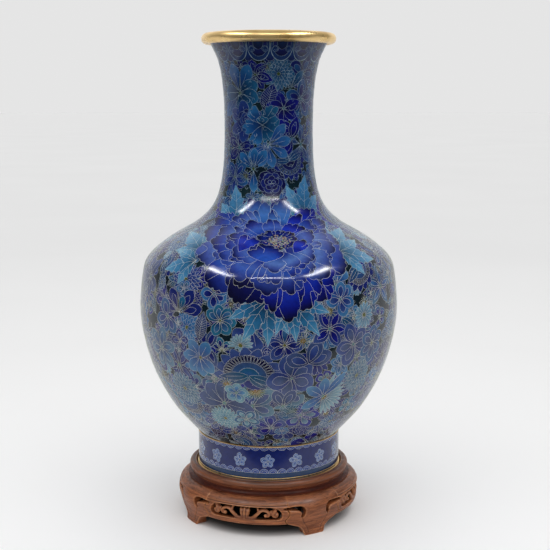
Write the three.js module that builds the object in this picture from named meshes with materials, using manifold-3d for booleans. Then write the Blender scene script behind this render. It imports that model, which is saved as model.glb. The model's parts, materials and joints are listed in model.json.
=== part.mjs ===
// Cloisonne baluster vase on a pierced hardwood stand.
// Millimetres, +Z up. The origin is on the table, on the axis of the vase and the stand.
// Angles are measured about +Z from the front (-Y) towards +X, in degrees.

import * as THREE from 'three';
import { mergeVertices } from 'three/addons/utils/BufferGeometryUtils.js';
import { TessellateModifier } from 'three/addons/modifiers/TessellateModifier.js';
import Module from 'manifold-3d';

// ---------------------------------------------------------------- driving dimensions

// Heights of the whole
const vase_height = 305;
const deck_z = 31.8;
const lip_z = deck_z + vase_height;

// Wall of the vase, from the outside in
const enamel_depth = 0.9;
const copper_depth = 1.0;
const lining_depth = 0.7;
const fit = 0.1;

// Outline of the enamelled wall above the foot: radius and height
const foot_r = 50.3;
const foot_top_z = 60.5;
const wall_top_r = 40.0;
const wall_top_z = 330.0;
const wall_points = [
    [foot_r, foot_top_z],
    [67.7, 80.7],
    [80.9, 105.2],
    [88.1, 129.8],
    [90.2, 150],
    [88.2, 172.7],
    [83.8, 184.9],
    [69.2, 197.2],
    [48.7, 209.5],
    [37.6, 221.7],
    [32.2, 240],
    [30.5, 265],
    [31.0, 295],
    [34.0, 316],
    [wall_top_r, wall_top_z],
];

// Seams of the copper body, and the wire that closes the scroll border under the lip
const belly_seam_z = 150;
const neck_seam_z = 228;
const border_wire_z = 316;

// Rolled lip and foot
const lip_tube_r = 3.7;
const lip_ring_r = 42.4;
const foot_rim_r = 51.1;
const foot_rim_h = 5;
const base_rise = 6.2;
const wire_w = 0.5;
const wire_proud = 0.1;
const border_low_z = border_wire_z - wire_w;

// Stand
const ring_inner_r = 51.8;
const ring_nose_r = 56.7;
const ring_top_z = 37;
const ring_bottom_z = 31.2;
const deck_thickness = 2.8;
const waist_bottom_z = 27.5;
const waist_r = 57.8;
const waist_inner_r = 46;
const apron_top_z = 27.3;
const apron_bottom_z = 9.4;
const leg_half_deg = 18.3;
const sole_half_deg = 6.4;
const bend_r = 61;
const wood_depth = 8;
const joint_gap = 0.3;
const leg_angles = [30, 120, 210, 300];
const panel_angles = [345, 75, 165, 255];

// Bamboo pins that hold the waist ring down on the legs and aprons
const pin_r = 1.2;
const pin_circle_r = 53.7;
const pin_bottom_z = 21.8;
const pin_top_z = 30.2;

// Fineness of the facets
const turns = 28;
const max_turn_deg = 14;
const max_step = 24;
const wood_edge = 9;

// ---------------------------------------------------------------- materials

function finish(color, roughness, metalness) {
    return () => new THREE.MeshStandardMaterial({ color, roughness, metalness });
}

const enamel = finish(0x1b2f7d, 0.12, 0.0);
const lining_enamel = finish(0x2a6f9e, 0.2, 0.0);
const copper = finish(0xb8734a, 0.4, 1.0);
const gilt = finish(0xc8a564, 0.3, 1.0);
const rosewood = finish(0x82503a, 0.4, 0.0);
const bamboo = finish(0xc9a86a, 0.6, 0.0);

// ---------------------------------------------------------------- helpers

const wasm = await Module();
wasm.setup();

const model = new THREE.Group();

function bare(geometry) {
    const plain = geometry.clone();
    plain.deleteAttribute('normal');
    plain.deleteAttribute('uv');
    return mergeVertices(plain, 1e-4);
}

function solid(geometry) {
    const merged = bare(geometry);
    const vertProperties = new Float32Array(merged.attributes.position.array);
    const triVerts = new Uint32Array(merged.index.array);
    return new wasm.Manifold(new wasm.Mesh({ numProp: 3, vertProperties, triVerts }));
}

function geometryOf(manifold) {
    const mesh = manifold.getMesh();
    const geometry = new THREE.BufferGeometry();
    geometry.setAttribute('position', new THREE.BufferAttribute(mesh.vertProperties, 3));
    geometry.setIndex(new THREE.BufferAttribute(mesh.triVerts, 1));
    return geometry;
}

function cut(geometry, ...tools) {
    let body = solid(geometry);
    for (const tool of tools) {
        body = body.subtract(solid(tool));
    }
    return geometryOf(body);
}

function add(name, geometry, material) {
    const mesh = new THREE.Mesh(geometry, material());
    mesh.name = name;
    model.add(mesh);
}

// Turns a profile of [radius, height] pairs about +Z. A ring's profile runs counter-clockwise.
function turned(profile, closed = true) {
    const points = profile.map(([r, z]) => new THREE.Vector2(r, z));
    if (closed) {
        points.push(points[0].clone());
    }
    return new THREE.LatheGeometry(points, turns).rotateX(Math.PI / 2);
}

function disc(radius, z_low, z_high) {
    return turned([[0, z_low], [radius, z_low], [radius, z_high], [0, z_high]], false);
}

function band(r_inner, r_outer, z_low, z_high) {
    return turned([[r_inner, z_low], [r_outer, z_low], [r_outer, z_high], [r_inner, z_high]]);
}

// An upright round peg at an angle about the axis
function peg(radius, circle_r, angle_deg, z_low, z_high) {
    const angle = THREE.MathUtils.degToRad(angle_deg);
    const shape = new THREE.CylinderGeometry(radius, radius, z_high - z_low, 8);
    shape.rotateX(Math.PI / 2);
    return shape.translate(
        circle_r * Math.sin(angle), -circle_r * Math.cos(angle), (z_low + z_high) / 2);
}

// ---------------------------------------------------------------- outline of the wall

const wall_curve = new THREE.SplineCurve(wall_points.map(([r, z]) => new THREE.Vector2(r, z)));

function curveAtHeight(z) {
    let low = 0;
    let high = 1;
    for (let i = 0; i < 40; i++) {
        const middle = (low + high) / 2;
        if (wall_curve.getPoint(middle).y < z) {
            low = middle;
        } else {
            high = middle;
        }
    }
    return high;
}

// Stations where the outline has turned by max_turn_deg or run max_step, and at every seam.
// All the layers of the wall share them, so that they nest.
function wallStations() {
    const fine = 600;
    const seams = [belly_seam_z, neck_seam_z, border_low_z, border_wire_z].map(curveAtHeight);
    const places = [0];
    for (let i = 1; i < fine; i++) {
        const t = i / fine;
        const last = places[places.length - 1];
        const turn = wall_curve.getTangent(t).angleTo(wall_curve.getTangent(last));
        const run = wall_curve.getPoint(t).distanceTo(wall_curve.getPoint(last));
        const seam = seams.find((s) => last < s && s <= t);
        if (seam !== undefined) {
            places.push(seam);
        } else if (turn > THREE.MathUtils.degToRad(max_turn_deg) || run > max_step) {
            places.push(t);
        }
    }
    places.push(1);
    return places.map((t) => {
        const point = wall_curve.getPoint(t);
        const along = wall_curve.getTangent(t);
        return { point, inward: new THREE.Vector2(-along.y, along.x) };
    });
}

const stations = wallStations();

function layerLine(z_low, z_high, depth) {
    const near = 0.01;
    return stations
        .filter(({ point }) => point.y > z_low - near && point.y < z_high + near)
        .map(({ point, inward }) => [point.x + inward.x * depth, point.y + inward.y * depth]);
}

// A stretch of wall between two seams, from one depth below the surface to another
function wallProfile(z_low, z_high, depth_outer, depth_inner) {
    const outer = layerLine(z_low, z_high, depth_outer);
    const inner = layerLine(z_low, z_high, depth_inner);
    return [...outer, ...inner.reverse()];
}

// ---------------------------------------------------------------- vase

const copper_at = enamel_depth + fit;
const lining_at = copper_at + copper_depth + fit;
const inside_at = lining_at + lining_depth;

function addWall() {
    const copper_back = copper_at + copper_depth;
    const shell = (z_low, z_high) => turned(wallProfile(z_low, z_high, copper_at, copper_back));
    const skin = (z_low, z_high) => turned(wallProfile(z_low, z_high, 0, enamel_depth));
    add('belly_shell', shell(foot_top_z, belly_seam_z), copper);
    add('shoulder_shell', shell(belly_seam_z, neck_seam_z), copper);
    add('neck_shell', shell(neck_seam_z, wall_top_z), copper);
    add('enamel_body', skin(foot_top_z, border_low_z), enamel);
    add('enamel_neck_border', skin(border_wire_z, wall_top_z), enamel);
    add('wire_neck_border', turned(
        wallProfile(border_low_z, border_wire_z, -wire_proud, enamel_depth)), gilt);
}

function addLining() {
    const floor_z = deck_z + base_rise + copper_depth + fit;
    const well_r = foot_r - inside_at;
    const outer_r = foot_r - lining_at;
    const outside = layerLine(foot_top_z, wall_top_z, lining_at);
    const inside = layerLine(foot_top_z, wall_top_z, inside_at);
    add('enamel_lining', turned([
        [0, floor_z],
        [outer_r, floor_z],
        [outer_r, foot_top_z],
        ...outside,
        ...inside.reverse(),
        [well_r, foot_top_z],
        [well_r, floor_z + lining_depth],
        [0, floor_z + lining_depth],
    ], false), lining_enamel);
}

function addFoot() {
    const rim_top_z = deck_z + foot_rim_h;
    const copper_r = foot_r - copper_at;
    const copper_inner_r = copper_r - copper_depth;
    const band_top_z = foot_top_z - fit;
    const plate_z = deck_z + base_rise;
    const plate_r = copper_inner_r - fit;
    const round = 1.2;
    add('foot_rim', turned([
        [copper_inner_r, deck_z],
        [foot_rim_r - round, deck_z],
        [foot_rim_r, deck_z + round],
        [foot_rim_r, rim_top_z - round],
        [foot_r + fit, rim_top_z],
        [copper_inner_r, rim_top_z],
    ]), gilt);
    add('foot_band', band(copper_inner_r, copper_r, rim_top_z + fit, band_top_z), copper);
    add('enamel_foot', band(copper_r + fit, foot_r, rim_top_z + fit + wire_w, band_top_z - wire_w - fit), enamel);
    add('wire_foot_bottom', band(copper_r + fit, foot_r + wire_proud, rim_top_z + fit,
        rim_top_z + wire_w), gilt);
    add('wire_foot_top', band(copper_r + fit, foot_r + wire_proud, band_top_z - wire_w, band_top_z), gilt);
    add('base_plate', disc(plate_r, plate_z, plate_z + copper_depth), copper);
    add('enamel_base', disc(plate_r, plate_z - fit - lining_depth, plate_z - fit), enamel);
}

function addLip() {
    const lip_points = 12;
    const centre_z = lip_z - lip_tube_r;
    const profile = [];
    for (let i = 0; i < lip_points; i++) {
        const angle = (i / lip_points) * 2 * Math.PI;
        profile.push([
            lip_ring_r + lip_tube_r * Math.cos(angle),
            centre_z + lip_tube_r * Math.sin(angle),
        ]);
    }
    add('lip_ring', turned(profile), gilt);
}

// ---------------------------------------------------------------- stand

function addTop() {
    const nose_z = 34.3;
    add('stand_top_ring', turned([
        [ring_inner_r, ring_bottom_z],
        [55.2, ring_bottom_z],
        [56.3, 32.6],
        [ring_nose_r, nose_z],
        [56.0, 35.9],
        [54.4, 36.9],
        [53.2, 36.5],
        [52.9, ring_top_z],
        [ring_inner_r, ring_top_z - 0.3],
    ]), rosewood);
    add('stand_deck', disc(ring_inner_r - joint_gap, deck_z - deck_thickness, deck_z), rosewood);

    const ledge_z = deck_z - deck_thickness - fit;
    const rebate_r = ring_inner_r;
    const holes = [...leg_angles, ...panel_angles].map((angle) => peg(
        pin_r + joint_gap, pin_circle_r, angle, pin_bottom_z, pin_top_z + joint_gap));
    add('stand_waist', cut(turned([
        [waist_inner_r, waist_bottom_z],
        [waist_r, waist_bottom_z],
        [56.2, 28.6],
        [55.5, ring_bottom_z - fit],
        [rebate_r, ring_bottom_z - fit],
        [rebate_r, ledge_z],
        [waist_inner_r, ledge_z],
    ]), ...holes), rosewood);
}

// Radius of the carved face and of the back of the aprons and legs at a height
const face_points = [[61.7, 0], [63, 10], [64.8, 18.3], [64, 22.5], [61.4, 26], [58.2, apron_top_z]];
const back_points = [[54, 0], [56.6, 10], [56.6, 17], [50.5, 20.5], [50.5, apron_top_z]];

function radiusAt(points, z) {
    const last = points.length - 1;
    if (z <= points[0][1]) {
        return points[0][0];
    }
    for (let i = 0; i < last; i++) {
        const [r0, z0] = points[i];
        const [r1, z1] = points[i + 1];
        if (z <= z1) {
            return r0 + (r1 - r0) * (z - z0) / (z1 - z0);
        }
    }
    return points[last][0];
}

// Extrudes a flat outline (run along the girth, height), then wraps it round the stand
function bentBoard(shape, angle_deg) {
    const flat = new THREE.ExtrudeGeometry(shape, {
        depth: wood_depth, bevelEnabled: false, curveSegments: 4,
    });
    const split = bare(new TessellateModifier(wood_edge, 12).modify(bare(flat).toNonIndexed()));
    const position = split.attributes.position;
    for (let i = 0; i < position.count; i++) {
        const height = position.getY(i);
        const through = position.getZ(i) / wood_depth;
        const face = radiusAt(face_points, height);
        const back = radiusAt(back_points, height);
        const radius = back + (face - back) * through;
        const angle = THREE.MathUtils.degToRad(angle_deg) + position.getX(i) / bend_r;
        position.setXYZ(i, radius * Math.sin(angle), -radius * Math.cos(angle), height);
    }
    return split;
}

function girth(degrees) {
    return THREE.MathUtils.degToRad(degrees) * bend_r;
}

function pinHole(angle) {
    return peg(pin_r + joint_gap, pin_circle_r, angle, pin_bottom_z - joint_gap, apron_top_z + 1);
}

// A pierced opening between a vine scroll and the rail, mirrored for the other side
function piercing(side) {
    const inner = girth(4);
    const outer = girth(18.5);
    const low = 13;
    const high = 21.8;
    const middle = (inner + outer) / 2;
    const hole = new THREE.Path();
    hole.moveTo(side * inner, 15);
    hole.quadraticCurveTo(side * inner, low, side * (inner + 2), low);
    hole.lineTo(side * (outer - 2), low);
    hole.quadraticCurveTo(side * outer, low, side * outer, 16);
    hole.quadraticCurveTo(side * outer, high, side * middle, high);
    hole.quadraticCurveTo(side * inner, high, side * inner, 15);
    return hole;
}

function panelShape() {
    const half = girth(45 - leg_half_deg) - joint_gap / 2;
    const shape = new THREE.Shape();
    shape.moveTo(-half, apron_bottom_z);
    shape.lineTo(half, apron_bottom_z);
    shape.lineTo(half, apron_top_z);
    shape.lineTo(-half, apron_top_z);
    shape.closePath();
    shape.holes.push(piercing(-1), piercing(1));
    return shape;
}

function legShape() {
    const half = girth(leg_half_deg) - joint_gap / 2;
    const sole = girth(sole_half_deg);
    const ankle_z = 5;
    const shape = new THREE.Shape();
    shape.moveTo(-sole, 0);
    shape.lineTo(sole, 0);
    shape.bezierCurveTo(sole + 1, ankle_z, half - 5, ankle_z, half, apron_bottom_z);
    shape.lineTo(half, apron_top_z);
    shape.lineTo(-half, apron_top_z);
    shape.lineTo(-half, apron_bottom_z);
    shape.bezierCurveTo(-half + 5, ankle_z, -sole - 1, ankle_z, -sole, 0);
    return shape;
}

function addSkirt() {
    leg_angles.forEach((angle, i) => {
        add(`leg_${i + 1}`, cut(bentBoard(legShape(), angle), pinHole(angle)), rosewood);
    });
    panel_angles.forEach((angle, i) => {
        add(`apron_panel_${i + 1}`, cut(bentBoard(panelShape(), angle), pinHole(angle)), rosewood);
    });
    [...leg_angles, ...panel_angles].forEach((angle, i) => {
        add(`pin_${i + 1}`, peg(pin_r, pin_circle_r, angle, pin_bottom_z, pin_top_z), bamboo);
    });
}

addLip();
addWall();
addLining();
addFoot();
addTop();
addSkirt();

export default model;
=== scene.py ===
"""Looks of a cloisonne vase on a carved hardwood stand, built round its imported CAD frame.

Metres and +Z up. Distances on the decorated skins are in millimetres: `run` is the distance up the
outline from the foot, and `turn` is the angle about the axis from the front (-Y) towards +X.
"""

import json
import math

import bmesh
import bpy
import numpy as np
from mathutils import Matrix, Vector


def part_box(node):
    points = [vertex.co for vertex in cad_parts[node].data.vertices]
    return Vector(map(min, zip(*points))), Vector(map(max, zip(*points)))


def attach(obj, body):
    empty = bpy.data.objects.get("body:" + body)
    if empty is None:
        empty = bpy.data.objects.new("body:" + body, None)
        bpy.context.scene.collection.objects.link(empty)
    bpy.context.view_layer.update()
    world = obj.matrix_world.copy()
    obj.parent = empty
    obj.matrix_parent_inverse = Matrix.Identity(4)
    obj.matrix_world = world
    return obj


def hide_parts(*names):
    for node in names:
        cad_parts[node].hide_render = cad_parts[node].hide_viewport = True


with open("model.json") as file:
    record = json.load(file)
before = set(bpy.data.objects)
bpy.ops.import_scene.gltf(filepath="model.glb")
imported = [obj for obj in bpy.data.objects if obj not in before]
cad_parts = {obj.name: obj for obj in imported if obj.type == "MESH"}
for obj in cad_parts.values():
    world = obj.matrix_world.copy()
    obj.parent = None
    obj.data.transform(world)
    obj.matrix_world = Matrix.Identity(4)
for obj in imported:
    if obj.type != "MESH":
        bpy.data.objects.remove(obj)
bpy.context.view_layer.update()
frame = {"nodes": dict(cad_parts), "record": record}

MM = 0.001
FULL = 2 * math.pi


def extent(node):
    """Lowest and highest corner of a CAD node, in millimetres."""
    return [np.array(corner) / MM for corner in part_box(node)]


body_low, body_high = extent("enamel_body")
border_low, border_high = extent("enamel_neck_border")
foot_low, foot_high = extent("enamel_foot")
lip_low, lip_high = extent("lip_ring")
rim_low, rim_high = extent("foot_rim")
deck_low, deck_high = extent("stand_deck")
ring_low, ring_high = extent("stand_top_ring")
waist_low, waist_high = extent("stand_waist")
base_low, base_high = extent("enamel_base")
lining_floor = extent("enamel_lining")[0][2]


# ---------------------------------------------------------------- colours


def colour(code):
    """Linear colour of a web colour code."""
    parts = np.array([int(code[i:i + 2], 16) for i in (0, 2, 4)]) / 255
    return np.where(parts <= 0.04045, parts / 12.92, ((parts + 0.055) / 1.055) ** 2.4)


def shades(codes):
    """Linear colours of a row of web colour codes."""
    return [colour(code) for code in codes.split()]


GROUND, GREEN, NAVY, VIOLET, PLUM, STEEL, TEAL = shades("06222a 173f3a 080a3c 38398a 332c66 2f5b90 1a5a7a")
PALE, SLATE, WHITE, CREAM, AMBER, LIME = shades("7f9fb4 464f78 a9b8c2 d8cf9c a8642a 76863e")

# Petal colours from the heart of a flower to the tip
NIGHTS = shades("080a3c 12186a 22307c")
DEEPS = shades("080a3c 0c1078 1a1f96")
VIOLETS = shades("262c68 363f82 525c94")
SLATES = shades("2c2c5c 464f78 5a5c8c")
STEELS = shades("182f66 305480 52789e")
SKIES = shades("1e3c80 40689e 6e98bc")
TEALS = shades("0a2c42 1e5c7a 44869e")
MISTY = shades("2c3a5e 4e6280 8094a4")
PALES = shades("3a5c74 6c8c9e 9cb4bc")
WHITES = shades("4c6078 8c9ca8 c4ccd0")
LILIES = shades("0c2a50 2a5e90 609cbe")
BLOOMS = shades("26407c 506ca6 7690bc")
SCALLOPS = shades("1e2c70 34488a 4a64a0")
FERNS = [GREEN, TEAL, TEAL]
BLUES = [NIGHTS, DEEPS, VIOLETS, VIOLETS, SLATES, STEELS, STEELS, SKIES, TEALS, MISTY, NIGHTS]
NECK_BLUES = [NIGHTS, TEALS, STEELS, NIGHTS, FERNS, SKIES]
LEAVES = [TEALS, NIGHTS, FERNS, SLATES, STEELS, VIOLETS]

# Colours of the peony's petals, from the base to the dark edge, and of the leaves round it
PALE_PETAL = shades("1c3c8c 183480 1e4090 3e6cb2 5078bc 38569c 0e1466")
VIOLET_PETAL = shades("18267a 121c68 182474 30449a 4a62b2 34449a 0a0e4a")
PERI_PETAL = shades("22348c 1a2878 223488 4a62a8 6076b8 46529e 10164e")
ROYAL_PETAL = shades("14288c 0e1c74 122484 2c48a2 3a58ae 243490 080c48")
DEEP_PETAL = shades("162e9c 0e2090 0e1e90 1830ac 1630b0 0a1684 03042c")
NIGHT_PETAL = shades("050c34 081048 0c1a64 102078 0a1464 060a48 04062c")
BOWL_PETAL = shades("2450b4 2450b4 2850b4 2444a4 162c88 0a145c 060830")
FROND = shades("0a2838 24587a 4c8ab0 94c4da")
PALE_FROND = shades("163852 3c7698 6ea2c0 b4d4dc")


# ---------------------------------------------------------------- outlines of revolution


def spline(points, steps=40):
    """Smooth line through points, as a Catmull-Rom curve."""
    points = np.array(points, float)
    before = np.vstack([points[:1], points[:-2]])
    after = np.vstack([points[2:], points[-1:]])
    t = np.linspace(0, 1, steps, endpoint=False)[None, :, None]
    p1, p2 = points[:-1, None], points[1:, None]
    v1, v2 = (points[1:, None] - before[:, None]) / 2, (after[:, None] - points[:-1, None]) / 2
    line = (2 * p1 - 2 * p2 + v1 + v2) * t**3 + (3 * p2 - 3 * p1 - 2 * v1 - v2) * t**2 + v1 * t + p1
    return np.vstack([line.reshape(-1, 2), points[-1]])


class Wall:
    """A turned skin, read by the distance run up its outline."""

    def __init__(self, outline):
        self.outline = outline
        step = np.hypot(*np.diff(outline, axis=0).T)
        self.runs = np.concatenate([[0], np.cumsum(step)])
        self.length = self.runs[-1]
        along = np.gradient(outline, self.runs, axis=0)
        self.along = along / np.hypot(*along.T)[:, None]

    def read(self, table, run):
        return np.interp(run, self.runs, table)

    def radius(self, run):
        return self.read(self.outline[:, 0], run)

    def height(self, run):
        return self.read(self.outline[:, 1], run)

    def run_at(self, height):
        return np.interp(height, self.outline[:, 1], self.runs)

    def frame_at(self, turn, run):
        """Point on the skin in millimetres, and the outward normal there."""
        sin, cos = np.sin(turn), np.cos(turn)
        radius = self.radius(run)
        out, up = self.read(self.along[:, 1], run), -self.read(self.along[:, 0], run)
        point = np.stack([radius * sin, -radius * cos, self.height(run)], axis=-1)
        normal = np.stack([out * sin, -out * cos, up], axis=-1)
        return point, normal / np.linalg.norm(normal, axis=-1, keepdims=True)


# Radius and height of the enamelled wall from the foot to the lip
WALL = [
    (50.3, 60.5), (67.7, 80.7), (80.9, 105.2), (88.1, 129.8), (90.2, 150), (88.2, 172.7),
    (83.8, 184.9), (69.2, 197.2), (48.7, 209.5), (37.6, 221.7), (32.2, 240), (30.5, 265),
    (31.0, 295), (34.0, 316), (40.0, 330),
]


def wall_outline():
    """The wall's outline, fitted to the boxes of its CAD nodes."""
    drawn = np.array(WALL)
    radii = drawn[:, 0] * body_high[0] / drawn[:, 0].max()
    share = (drawn[:, 1] - drawn[0, 1]) / (drawn[-1, 1] - drawn[0, 1])
    heights = body_low[2] + share * (border_high[2] - body_low[2])
    return spline(np.stack([radii, heights], axis=1))


vase_wall = Wall(wall_outline())
FOOT_OVERLAP = 0.6
foot_wall = Wall(np.array([(foot_high[0], foot_low[2] - FOOT_OVERLAP), (foot_high[0], foot_high[2])]))


# ---------------------------------------------------------------- painting a skin


class Pose:
    """Where a motif lies: degrees from the front, mm up the skin, degrees of lean, and flattening."""

    def __init__(self, turn, run, lean=0.0, squash=1.0):
        self.turn = math.radians(turn)
        self.run = run
        self.lean = math.radians(lean)
        self.squash = squash


class Canvas:
    """A skin unrolled to rows up its outline and columns round it, painted cell over cell."""

    def __init__(self, wall, ground, columns, row_mm, seed):
        self.wall = wall
        self.rng = np.random.default_rng(seed)
        self.columns = columns
        self.rows = int(round(wall.length / row_mm)) + 1
        self.row_mm = wall.length / (self.rows - 1)
        self.radii = wall.radius(np.arange(self.rows) * self.row_mm)
        self.paint = np.tile(ground, (self.rows, columns, 1))
        self.order = np.zeros((self.rows, columns), np.int32)
        self.count = 0
        self.strokes = []

    def place(self, pose, points):
        """Turn and run of points drawn flat about a pose, in mm."""
        points = np.asarray(points, float) * (1, pose.squash)
        cos, sin = math.cos(pose.lean), math.sin(pose.lean)
        across = points[:, 0] * cos + points[:, 1] * sin
        run = pose.run - points[:, 0] * sin + points[:, 1] * cos
        return pose.turn + across / self.wall.radius(run), run

    def stroke(self, pose, points, closed=False):
        """A wire along a line, hidden wherever a later cell covers it."""
        turn, run = self.place(pose, points)
        self.strokes.append((self.count, turn, run, closed))

    def cell(self, pose, points, stops, centre=(0, 0), reach=None, wired=True):
        """Fills a closed outline with colours that run from the centre out to the reach."""
        self.count += 1
        turn, run = self.place(pose, points)
        if wired:
            self.strokes.append((self.count, turn, run, True))
        column, row = turn / FULL * self.columns, run / self.row_mm
        low_row = max(int(math.ceil(row.min())), 0)
        high_row = min(int(math.floor(row.max())), self.rows - 1)
        low_col = int(math.ceil(column.min()))
        width = int(math.floor(column.max())) - low_col + 1
        if high_row < low_row or width < 1:
            return
        rows = np.arange(low_row, high_row + 1)
        x0, y0 = column, row
        x1, y1 = np.roll(column, -1), np.roll(row, -1)
        crossed = (rows[:, None] >= np.minimum(y0, y1)) & (rows[:, None] < np.maximum(y0, y1))
        at_row, at_edge = np.nonzero(crossed)
        slope = (x1 - x0)[at_edge] / (y1 - y0)[at_edge]
        met = x0[at_edge] + (rows[at_row] - y0[at_edge]) * slope
        toggles = np.zeros((len(rows), width + 1), np.int32)
        np.add.at(toggles, (at_row, np.clip(np.ceil(met).astype(int) - low_col, 0, width)), 1)
        inside_row, inside_col = np.nonzero(np.cumsum(toggles, axis=1)[:, :width] % 2)
        if not len(inside_row):
            return
        self.shade(pose, rows[inside_row], inside_col + low_col, stops, centre,
                   reach or np.hypot(*(np.asarray(points) - centre).T).max())

    def shade(self, pose, rows, columns, stops, centre, reach):
        """Colours grid places by their distance from a centre drawn in the pose."""
        across = (columns / self.columns * FULL - pose.turn) * self.radii[rows]
        up = rows * self.row_mm - pose.run
        cos, sin = math.cos(pose.lean), math.sin(pose.lean)
        x = across * cos - up * sin - centre[0]
        y = (across * sin + up * cos) / pose.squash - centre[1]
        share = np.clip(np.hypot(x, y) / reach, 0, 1) * (len(stops) - 1)
        stops = np.array(stops)
        first = np.minimum(share.astype(int), len(stops) - 2)
        mix = (share - first)[:, None]
        columns = columns % self.columns
        self.paint[rows, columns] = stops[first] * (1 - mix) + stops[first + 1] * mix
        self.order[rows, columns] = self.count


# ---------------------------------------------------------------- outlines of petals and leaves


def turned_by(points, degrees, offset=(0, 0)):
    """Points leaned clockwise and then moved."""
    angle = math.radians(degrees)
    cos, sin = math.cos(angle), math.sin(angle)
    points = np.asarray(points, float)
    x = points[:, 0] * cos + points[:, 1] * sin + offset[0]
    y = -points[:, 0] * sin + points[:, 1] * cos + offset[1]
    return np.stack([x, y], axis=1)


def toward(degrees):
    """Unit step in a direction counted clockwise from up."""
    return np.array([math.sin(math.radians(degrees)), math.cos(math.radians(degrees))])


def mirrored(half):
    """Closed outline from its right half, listed from base to tip."""
    half = np.asarray(half, float)
    left = half[-2:0:-1] * (-1, 1)
    return np.vstack([half, left])


# How full a petal is, and how far its widest place lies towards the tip
PETAL_FORMS = {"round": (0.62, 1.3), "pointed": (0.95, 0.9), "notched": (0.6, 1.5), "spoon": (0.85, 1.9)}


def petal(length, width, shape="round", points=9):
    """A petal of one of the forms, standing on the origin."""
    t = (1 - np.cos(np.linspace(0, math.pi, points))) / 2
    power, lean = PETAL_FORMS[shape]
    half = width / 2 * np.sin(math.pi * np.clip(t**lean, 0, 1)) ** power
    up = t * length
    if shape == "notched":
        up = up - length * 0.12 * (1 - np.clip(half / (0.45 * width), 0, 1)) * (t > 0.7)
    half[0] = half[-1] = 0
    return mirrored(np.stack([half, up], axis=1))


def disc(radius, points):
    angle = np.linspace(0, FULL, points, endpoint=False)
    return np.stack([radius * np.cos(angle), radius * np.sin(angle)], axis=1)


def serrated(length, width, teeth=3):
    """A toothed leaf lobe that stands on the origin, its teeth towards the tip."""
    half = [(0, 0), (0.12 * width, 0.1 * length), (0.3 * width, 0.26 * length)]
    for tooth in range(teeth):
        share = (tooth + 1) / (teeth + 1)
        swell = width / 2 * math.cos(0.5 * math.pi * (share - 0.25)) ** 1.5
        half.append((1.05 * swell, (0.3 + 0.62 * share) * length))
        half.append((0.74 * swell, (0.29 + 0.66 * share) * length))
    half.append((0, length))
    return mirrored(half)


EDGE_POINTS, LIP_POINTS = 65, 21


def ruffled(length, width, lobes, depth, rng):
    """A broad petal on the origin, its far edge cut into shallow rounded lobes."""
    u = np.linspace(-1, 1, EDGE_POINTS)
    angle = u * math.asin(min(width / 2 / length, 0.96))
    phase = rng.uniform(0, 1)
    warped = (u + 1) / 2 + 0.05 * np.sin(5 * u + 9 * phase)
    frill = np.abs(np.sin(math.pi * (lobes * warped + phase))) ** 0.5
    sway = 0.06 * np.sin(3.5 * u + 7 * phase)
    reach = length * (1 - 0.14 * u**2 + sway) + depth * (frill - 0.9)
    edge = np.stack([reach * np.sin(angle), reach * np.cos(angle)], axis=1)
    bulge = np.array([0.07 * width, 0])
    left = [edge[0] * share - bulge for share in (0.35, 0.7)]
    right = [edge[-1] * share + bulge for share in (0.7, 0.35)]
    return np.vstack([[(0, 0)], left, edge, right])


# ---------------------------------------------------------------- motifs


def around(count, start=0.0):
    return [start + 360 * k / count for k in range(count)]


def stamens(canvas, pose, radius, rays):
    """The eye of a flower, with stamens as short wires round it."""
    inner = AMBER if canvas.rng.uniform() < 0.2 else PALE
    for way in around(rays, 180 / rays):
        canvas.stroke(pose, [toward(way) * radius * 0.9, toward(way) * radius * 2.4])
    canvas.cell(pose, disc(radius * 0.8, 9), [inner, LIME])


def fan(canvas, pose, size, width, ways, stops, shape="spoon", inner=None, eye=0.1):
    """Petals in the listed directions, each with an inner contour, over a small eye."""
    rng = canvas.rng
    for way in ways:
        way = way + rng.uniform(-4, 4)
        long, wide = size * rng.uniform(0.9, 1.08), width * rng.uniform(0.92, 1.08)
        canvas.cell(pose, turned_by(petal(long, wide, shape, 11), way), stops, reach=long)
        nested = turned_by(petal(long * 0.66, wide * 0.5, shape, 8), way, toward(way) * long * 0.1)
        if inner is None:
            canvas.stroke(pose, [toward(way) * long * share for share in (0.1, 0.45, 0.7)])
        else:
            canvas.cell(pose, nested, inner, reach=long * 0.7)
    if eye:
        stamens(canvas, pose, size * eye, 7)


def daisy(canvas, pose, size, stops, petals=13, spread=360):
    """Narrow petals in a ring, or in a fan, round a small eye."""
    for k in range(petals):
        way = spread * (k / petals if spread == 360 else k / (petals - 1) - 0.5)
        long = size * canvas.rng.uniform(0.9, 1.05)
        wide = FULL * size * 0.78 / petals * spread / 360
        canvas.cell(pose, turned_by(petal(long, wide, "spoon", 6), way), stops, reach=long)
    canvas.cell(pose, disc(size * 0.18, 9), [LIME, AMBER])


def mum(canvas, pose, size, stops):
    """A full chrysanthemum in three rings of narrow petals."""
    for ring, (share, petals) in enumerate(((1, 22), (0.74, 16), (0.46, 10))):
        reach = size * share
        for way in around(petals, 180 * ring / petals):
            outline = petal(reach, FULL * reach * 0.82 / petals, "spoon", 6)
            canvas.cell(pose, turned_by(outline, way), stops, reach=reach)
    canvas.cell(pose, disc(size * 0.12, 8), [AMBER, LIME])


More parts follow.
